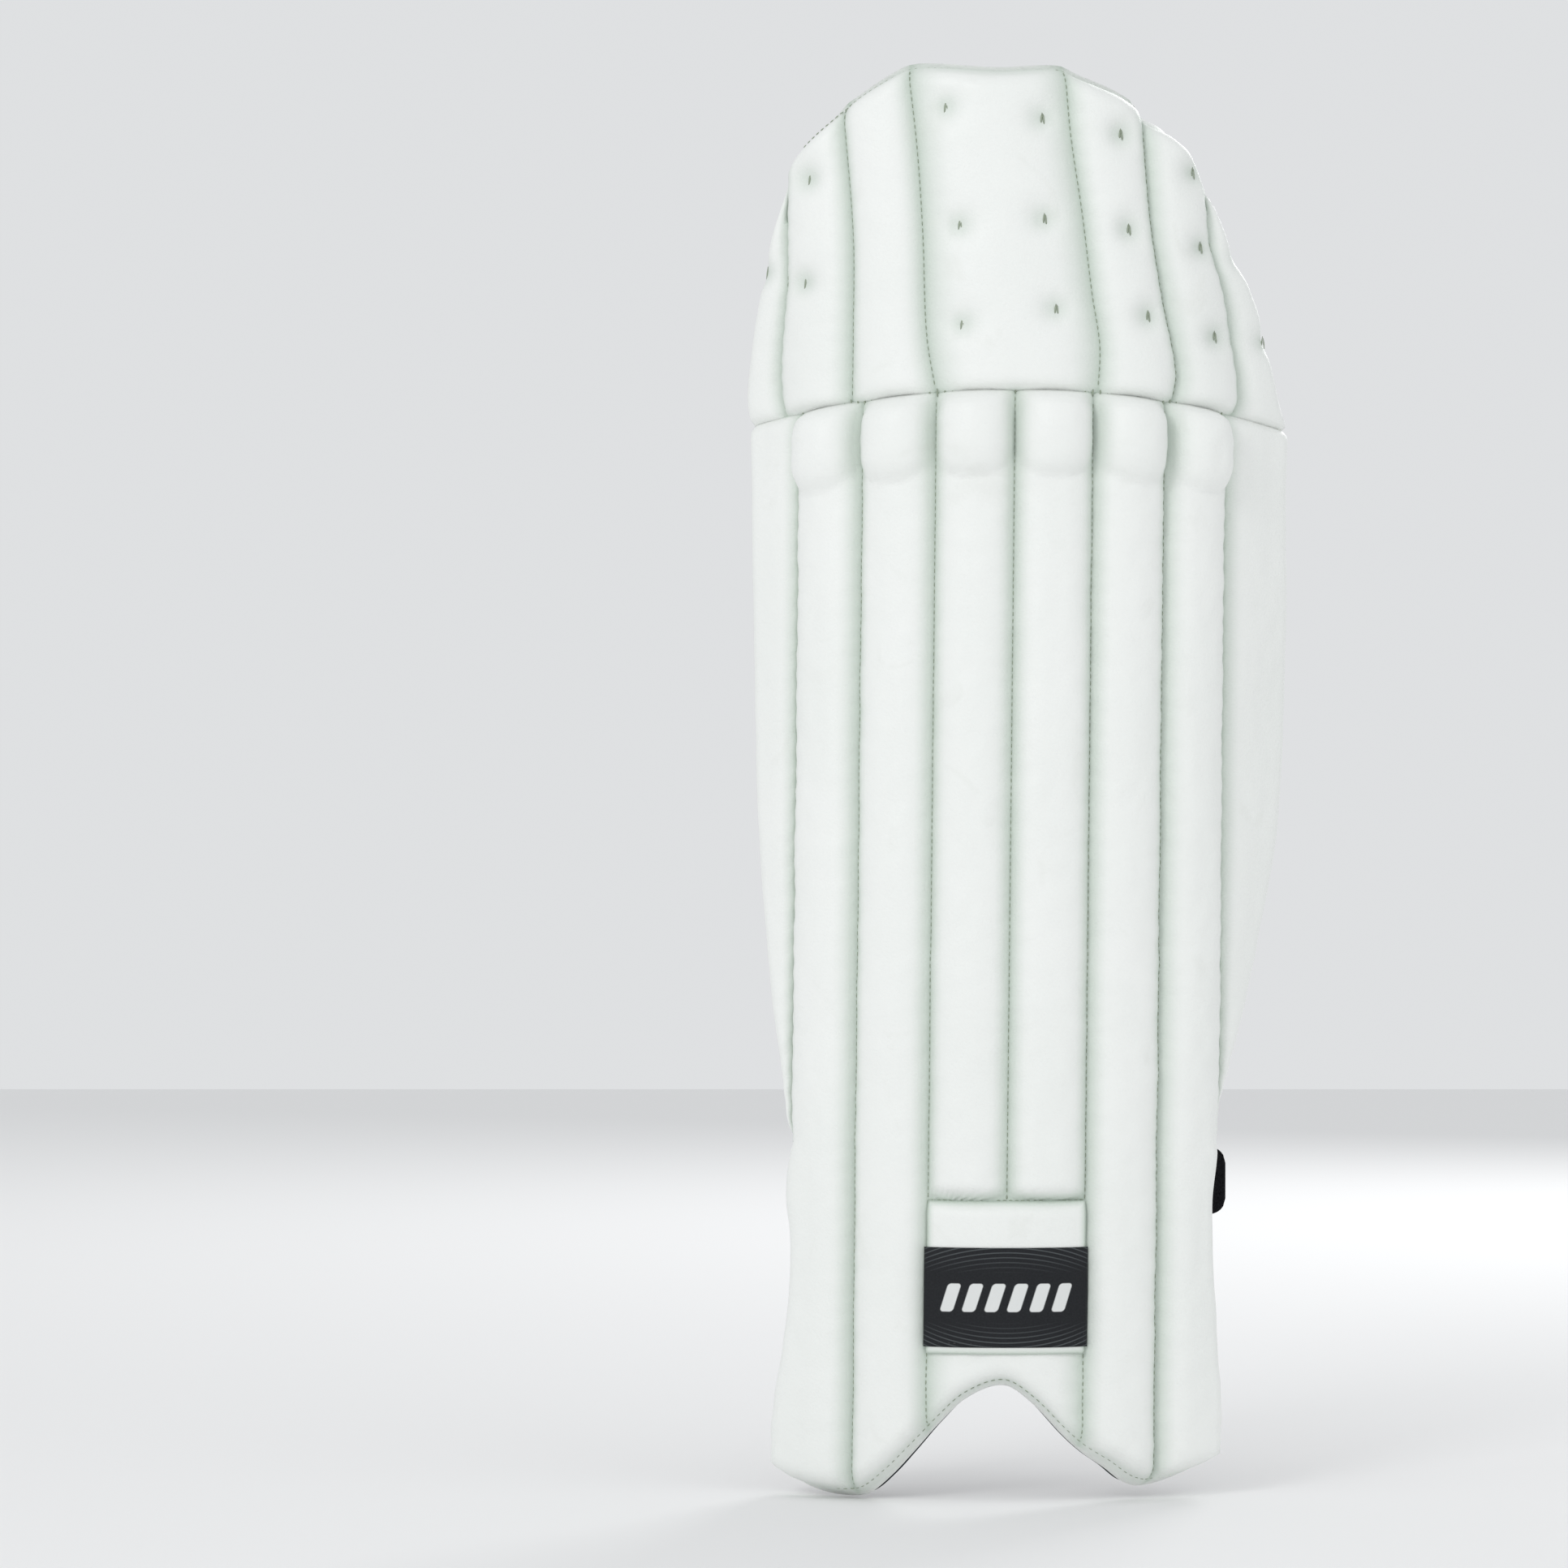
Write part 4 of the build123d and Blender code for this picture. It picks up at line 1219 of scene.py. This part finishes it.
def straps():
    low, high = LOWER_STRAP_Z
    tape(
        "lower_strap_elastic", "lower_strap_webbing", lambda x, z: lower_line(x, 2.2, z),
        (STRAP_FROM + 2.6, STRAP_JOIN + 3), (low, high), ELASTIC, "lower_strap", 1.8,
        (90, 26),
    )  # fmt: skip
    tape(
        "lower_strap_pile", "lower_strap_pile_tape",
        lambda x, z: lower_line(x, 3.0 - 0.6 * ease((x - STRAP_JOIN) / 9), z),
        (STRAP_JOIN - 5, STRAP_TO), (low + 0.5, high - 0.5), PILE, "lower_strap", 2.0,
        (90, 26), 7.0,
    )  # fmt: skip
    tape(
        "lower_strap_hook_tab", "lower_strap_hook", lambda x, z: lower_line(x, -0.2, z),
        (STRAP_TO - 28, STRAP_TO - 12), (low + 1.5, high - 1.5), HOOK, "lower_strap", 0.9,
        (20, 26),
    )  # fmt: skip
    # Sewn-down end behind the narrow edge, and the pile patch behind the wide one
    for name, node, span in (
        ("lower_strap_anchor_patch", "lower_strap_anchor", (-44, -37)),
        ("lower_strap_pile_patch", "lower_strap_patch", (34, 44)),
    ):
        ends = [math.radians(angle) * SEAM_R for angle in span]
        tape(
            name, node, lambda s, z: on_shin(s, z, LOWER_PATCH_LIFT), ends, (low, high), PILE,
            "shin", 0.9, (20, 26),
        )  # fmt: skip
    low, high = UPPER_STRAP_Z
    for name, node, span in (
        ("upper_strap_anchor_patch", "upper_strap_anchor", (8, 19)),
        ("upper_strap_pile_patch", "upper_strap_patch", (27, 46)),
    ):
        tape(
            name, node, lambda gone, z: upper_line(gone, UPPER_PATCH_DEPTH, z), span, (low, high), PILE,
            "wide_wing", 1.0, (20, 26),
        )  # fmt: skip
    tape(
        "upper_strap_pile", "upper_strap_tape",
        lambda gone, z: upper_line(gone, UPPER_TAPE_DEPTH + 0.4 * rough(gone, z, 12, 77), z),
        (UPPER_ROOT, UPPER_END), (low, high), PILE, "upper_strap", 2.0,
        (36, 26), 3.0,
    )  # fmt: skip
    tape(
        "upper_strap_hook_tab", "upper_strap_hook", lambda gone, z: upper_line(gone, UPPER_HOOK_DEPTH, z),
        (28, 44), (low + 1.5, high - 1.5), HOOK, "upper_strap", 0.9,
        (16, 26),
    )  # fmt: skip


# ---- Stitches ----
class Stitches:
    """Short lengths of thread laid along lines on the cloth."""

    def __init__(self):
        self.bm = bmesh.new()

    def one(self, point, along_line, out, long=2.1, wide=0.8):
        across = out.cross(along_line).normalized()
        up = along_line.cross(across).normalized()
        turn = Matrix((across, along_line, up)).transposed().to_4x4()
        size = Matrix.Diagonal((wide / 2 * MM, long / 2 * MM, wide * 0.35 * MM, 1))
        place = Matrix.Translation(point * MM) @ turn @ size
        bmesh.ops.create_icosphere(self.bm, subdivisions=1, radius=1.0, matrix=place)

    def run(self, line, start, end, pitch=STITCH, long=2.1, wide=0.8, slant=0.0, across=False):
        """Stitches between two places on line(t), each turned in the cloth by slant or square by across."""
        points = [line(mix(start, end, k / 160)) for k in range(161)]
        gone = 0.0
        next_at = pitch / 2
        for (a, out), (b, _) in zip(points, points[1:]):
            step = (b - a).length
            if step < 1e-6:
                continue
            heading = (b - a) / step
            while next_at <= gone + step:
                side = out.cross(heading).normalized()
                aim = side if across else (heading + side * slant).normalized()
                self.one(a + heading * (next_at - gone), aim, out, long, wide)
                next_at += pitch
            gone += step

    def piece(self, name, paint, slot_name, *bodies):
        mesh = bpy.data.meshes.new(name)
        self.bm.to_mesh(mesh)
        self.bm.free()
        thread_piece = shown(name, mesh, paint)
        if len(bodies) == 1:
            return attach(thread_piece, bodies[0])
        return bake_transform(thread_piece)


def with_out(place, s, z, step=0.6):
    """A point of place(s, z) and the outward direction of the surface there."""
    here = place(s, z)
    out = (place(s + step, z) - here).cross(place(s, z + step) - here)
    return here, out.normalized()


def shin_surface(s, z):
    left, right = shin_edges(z)
    q, p = min(s - left, right - s), z - foot(s)
    return shin_front_point(s, z, max(q, 0.01), max(p, 0.01), 0.15)[0]


def shin_stitches():
    sewn = Stitches()
    for number in range(-2, 3):
        s = number * CHANNEL
        low = PATCH_Z[1] if number == 0 else foot(s) + 3
        sewn.run(lambda z, s=s: with_out(shin_surface, s, z), low, knee(on_shin(s, 470, 0).x) - 3)
    for side in (-1, 1):
        s = side * (SHIN_EDGE - 0.5)
        sewn.run(lambda z, s=s: with_out(shin_surface, s, z), WING_FOOT + 4, knee(92) - 3)
    sewn.run(lambda s: with_out(shin_surface, s, PATCH_Z[1]), -CHANNEL + 1, CHANNEL - 1, 2.6, 1.9)
    # A row in from the free edges, and short overcast threads along the knee seam
    for side in (0, 1):
        inset = FLANGE * (1 - 2 * side)
        sewn.run(
            lambda z, side=side, inset=inset: with_out(shin_surface, shin_edges(z)[side] + inset, z),
            36, WING_FOOT - 4, 2.6, 2.4, 0.8, 0.9,
        )  # fmt: skip
    sewn.run(lambda s: with_out(shin_surface, s, foot(s) + FLANGE + 0.6), -98, 98, 3.2)

    def knee_line(s):
        flat = on_shin(s, 470, 0)
        return on_shin(s, knee(flat.x), 0.6), on_shin(s, 470, 1) - flat

    sewn.run(knee_line, -SHIN_EDGE, SHIN_EDGE, 3.4, 4.2, 0.8, across=True)
    sewn.piece("shin_seam_threads", THREAD, "white_cover", "shin")
    # Pale thread on the dark lining: quilting lines, and a row in from the edges
    quilt = Stitches()
    behind = Vector((0, 1, 0))

    def sewn_lining(s, z):
        return on_shin(s, z, lining_lift(s, z)[0] - 0.3), behind

    for s in QUILT_LINES:
        quilt.run(lambda z, s=s: sewn_lining(s, z), foot(s) + 8, 116, 5.0, 3.2, 0.7)

    def foot_row(s):
        z = foot(s) + 6
        return on_shin(s, z, min(lining_lift(s, z)[0], BACK_LIFT - 2.6) - 0.7), behind

    quilt.run(foot_row, -99, 97, 3.6, 2.4, 0.7)
    for side in (0, 1):
        inset = 6 * (1 - 2 * side)
        quilt.run(
            lambda z, side=side, inset=inset: sewn_lining(shin_edges(z)[side] + inset, z),
            30, 118, 3.6, 2.4, 0.7,
        )  # fmt: skip
    quilt.piece("shin_lining_threads", PALE_THREAD, "black_lining", "shin")


def top_surface(s, z):
    x = on_top(s, z, 0).x
    number, left, right = top_panel(s, z)
    crown = top_cover_lift(number, s, z, top_shape(number, left, right, s, 2.4, 0.75))
    lift = at_knee(crown * (1 - 0.62 * min(1.0, dimple(x, z))), z - knee(x))
    gap = min(s - top_seam(0, z), top_seam(7, z) - s, top_edge(x) - z)
    return on_top(s, z, rim_lift(lift, max(0.01, gap)) + 0.15)


def top_stitches():
    sewn = Stitches()
    for number in range(1, 7):
        points = TOP_SEAMS[number]
        high = min(points[-1][0], top_edge(points[-1][1])) - 4
        sewn.run(
            lambda z, number=number: with_out(top_surface, top_seam(number, z), z),
            knee(points[0][1]) + 3, high, 3.0,
        )  # fmt: skip
    for x, z in TUFTS:
        point, out = with_out(top_surface, arc_length(TOP_TURN, x - top_shift(z)), z)
        raised = point + out * 0.1
        sewn.one(raised, Vector((0.12, 0, 1)).normalized(), out, 6.6, 1.0)
        sewn.one(raised + Vector((0.9, 0, -0.4)), Vector((-0.1, 0, 1)).normalized(), out, 5.6, 0.9)
    sewn.run(
        lambda x: with_out(top_surface, arc_length(TOP_TURN, x + 12), top_edge(x) - FLANGE), -92, 84, 2.8
    )  # fmt: skip
    sewn.piece("top_seam_threads", THREAD, "white_cover", "shin", "top_hat", *KNEE_BLEND)
    # The lining's own running stitch, and the overcast threads under its hem
    back = Stitches()

    def inside(u, v):
        return top_lining_point(u, v, 0.2)[0]

    def lining_line(u, v):
        here = inside(u, v)
        out = (inside(u, min(1.0, v + 0.02)) - here).cross(inside(min(1.0, u + 0.01), v) - here)
        return here, out.normalized() if out.length else Vector((0, 1, 0))

    behind = Vector((0, 1, 0))
    for number in range(1, 7):
        points = TOP_SEAMS[number]
        back.run(
            lambda z, number=number: (on_top(top_seam(number, z), z, BACK_LIFT - 1.9), behind),
            hem(points[0][1]) + 3, min(points[-1][0], top_edge(points[-1][1])) - 5, 3.2,
        )  # fmt: skip
    for x, z in TUFTS:
        tied = on_top(arc_length(TOP_TURN, x - top_shift(z)), z, BACK_LIFT - 3.2)
        back.one(tied, Vector((0, 0, 1)), behind, 3, 0.8)
    back.run(lambda u: lining_line(u, 0.95), 0.02, 0.98, 3.4)
    for side in (0.025, 0.965):
        back.run(lambda v, side=side: lining_line(side, v), 0.05, 0.93, 3.4)
    back.run(lambda u: lining_line(u, 0.035), 0.02, 0.98, 4.2, 5.5, 0.8, across=True)
    back.piece("cotton_lining_threads", THREAD, "printed_cotton", "shin", "top_hat", *KNEE_BLEND)


def small_stitches():
    """Running seams on the label, the straps and the wings."""
    label = Stitches()

    def patch_surface(s, z):
        return on_shin(s, z, under_patch(s, z) + 2.1)

    for z in (LABEL_Z[0] + 1.8, LABEL_Z[1] - 1.8):
        label.run(lambda s, z=z: with_out(patch_surface, s, z), -33.5, 33.5, 2.4, 1.7, 0.6)
    for s in (-33.2, 33.2):
        label.run(lambda z, s=s: with_out(patch_surface, s, z), LABEL_Z[0] + 2, LABEL_Z[1] - 2, 2.4, 1.7, 0.6)
    label.piece("label_threads", DARK_THREAD, "label", "shin")
    strap = Stitches()
    low, high = LOWER_STRAP_Z
    out = Vector((0, 1, 0))
    for x in (STRAP_JOIN - 3, STRAP_JOIN + 1):
        strap.run(lambda z, x=x: (lower_line(x, 3.4, z), out), low + 2, high - 2, 2.4, 1.8, 0.6)
    strap.piece("lower_strap_threads", GREY_THREAD, "webbing", "lower_strap")
    upper = Stitches()
    low, high = UPPER_STRAP_Z
    wing_out = (on_shin(130, 390, -1) - on_shin(130, 390, 0)).normalized()

    def on_tape(gone, z):
        return upper_line(gone, UPPER_TAPE_DEPTH + 0.5, z), wing_out

    upper.run(lambda t: on_tape(UPPER_STITCH + t * 9, low + 2 + t * 9), 0, 1, 2.4, 1.8, 0.6)
    upper.run(lambda z: on_tape(UPPER_STITCH, z), low + 2, high - 2, 2.4, 1.8, 0.6)
    upper.piece("upper_strap_threads", DARK_THREAD, "pile_tape", "upper_strap")
    for side, name in ((-1, "narrow"), (1, "wide")):
        edge = Stitches()

        def surface(s, z, side=side):
            return on_shin(s, z, wing_lift(side, s, z)[0] + 0.15)

        edge.run(
            lambda z, side=side: with_out(surface, side * (abs(wing_rim(side, z)) - FLANGE), z),
            WING_FOOT + 14, knee(115) - 5, 3.2, 1.8, 0.6,
        )  # fmt: skip
        back = Stitches()
        behind = (on_shin(side * 130, 390, -1) - on_shin(side * 130, 390, 0)).normalized()
        back.run(
            lambda z, side=side: (on_shin(side * (abs(wing_rim(side, z)) - 6.5), z, BACK_LIFT - 1.9), behind),
            WING_FOOT + 16, knee(115) - 5, 3.8, 2.6, 0.7,
        )  # fmt: skip
        bodies = ("shin", f"{name}_wing", *WING_BLEND)
        back.piece(f"{name}_wing_lining_threads", PALE_THREAD, "black_lining", *bodies)
        edge.piece(f"{name}_wing_threads", THREAD, "white_cover", *bodies)


# ---- Everything made and painted ----
WHITE = white_cover()
BLACK = black_nylon()
COTTON = printed_cotton()
PRINT = printed_cover(0.151, 0.467, 0.0425)
DARK = dark_panel(-0.038)
LABEL = woven_label_cloth()
PILE = pile()
ELASTIC = elastic_webbing(LOWER_STRAP_Z[0], LOWER_STRAP_Z[1] - LOWER_STRAP_Z[0])
HOOK = plain_inside("hook_tape", (0.012, 0.012, 0.013), (0.05, 0.05, 0.055), 1500, 0.55)
CANE = plain_inside("cane", (0.36, 0.24, 0.11), (0.62, 0.47, 0.26), 300, 0.5, 12)
BOARD_FOAM = plain_inside("board_foam", (0.60, 0.62, 0.60), (0.72, 0.74, 0.72), 500, 0.8)
THREAD = thread("cover_thread", (0.46, 0.52, 0.42), (0.26, 0.31, 0.22))
PALE_THREAD = thread("pale_thread", (0.78, 0.80, 0.80), (0.55, 0.57, 0.57))
GREY_THREAD = thread("grey_thread", (0.30, 0.31, 0.31), (0.13, 0.13, 0.135))
DARK_THREAD = thread("dark_thread", (0.07, 0.07, 0.075), (0.02, 0.02, 0.022))

shin_front()
shin_board()
shin_lining()
binding()
patch("plain_patch", "label_patch", PATCH_HALF, *PATCH_Z, 0.9, WHITE, "white_cover", 1.0)
patch("label", "woven_label", LABEL_HALF, *LABEL_Z, 1.9, LABEL, "label", 0.8)
for wing_side, wing_name in ((-1, "narrow"), (1, "wide")):
    wing(wing_side, wing_name)
top_front()
top_board()
top_lining()
bolsters()
straps()
shin_stitches()
top_stitches()
small_stitches()
canes = bpy.data.objects["shin_canes"]
canes.data.materials.clear()
canes.data.materials.append(CANE)


# ---- Floor, light and camera ----
def studio():
    floor_mesh = bpy.data.meshes.new("floor")
    grid = bmesh.new()
    bmesh.ops.create_grid(grid, x_segments=1, y_segments=1, size=4)
    bmesh.ops.translate(grid, verts=grid.verts, vec=(0, 0, -0.001))
    grid.to_mesh(floor_mesh)
    grid.free()
    grey = Paint("floor", Base_Color=(0.86, 0.86, 0.86, 1), Roughness=0.9).material
    floor = shown("floor", floor_mesh, grey)
    world = bpy.data.worlds.new("studio")
    bpy.context.scene.world = world
    world.use_nodes = True
    world.node_tree.nodes["Background"].inputs["Color"].default_value = (0.97, 0.985, 1, 1)
    world.node_tree.nodes["Background"].inputs["Strength"].default_value = 0.76
    bpy.context.scene.view_settings.view_transform = "Standard"
    for name, place, aim, size, power in (
        ("key", (-1.2, -2.3, 1.5), (0, 0, 0.33), 0.8, 15),
        ("fill", (1.6, -2.2, 0.6), (0, 0, 0.3), 1.2, 3),
        ("back", (0.9, 2.3, 1.4), (0, 0, 0.35), 0.9, 17),
    ):
        lamp = bpy.data.lights.new(name, "AREA")
        lamp.energy, lamp.size = power, size
        lit = bpy.data.objects.new(name, lamp)
        bpy.context.scene.collection.objects.link(lit)
        lit.location = place
        lit.rotation_euler = (Vector(aim) - Vector(place)).to_track_quat("-Z", "Y").to_euler()
    lens = bpy.data.cameras.new("camera")
    lens.lens = 159
    lens.clip_end = 50
    camera = bpy.data.objects.new("camera", lens)
    bpy.context.scene.collection.objects.link(camera)
    camera.location = (-0.0998, -3.05, 0.3098)
    camera.rotation_euler = (math.pi / 2, 0, 0)
    bpy.context.scene.camera = camera


studio()
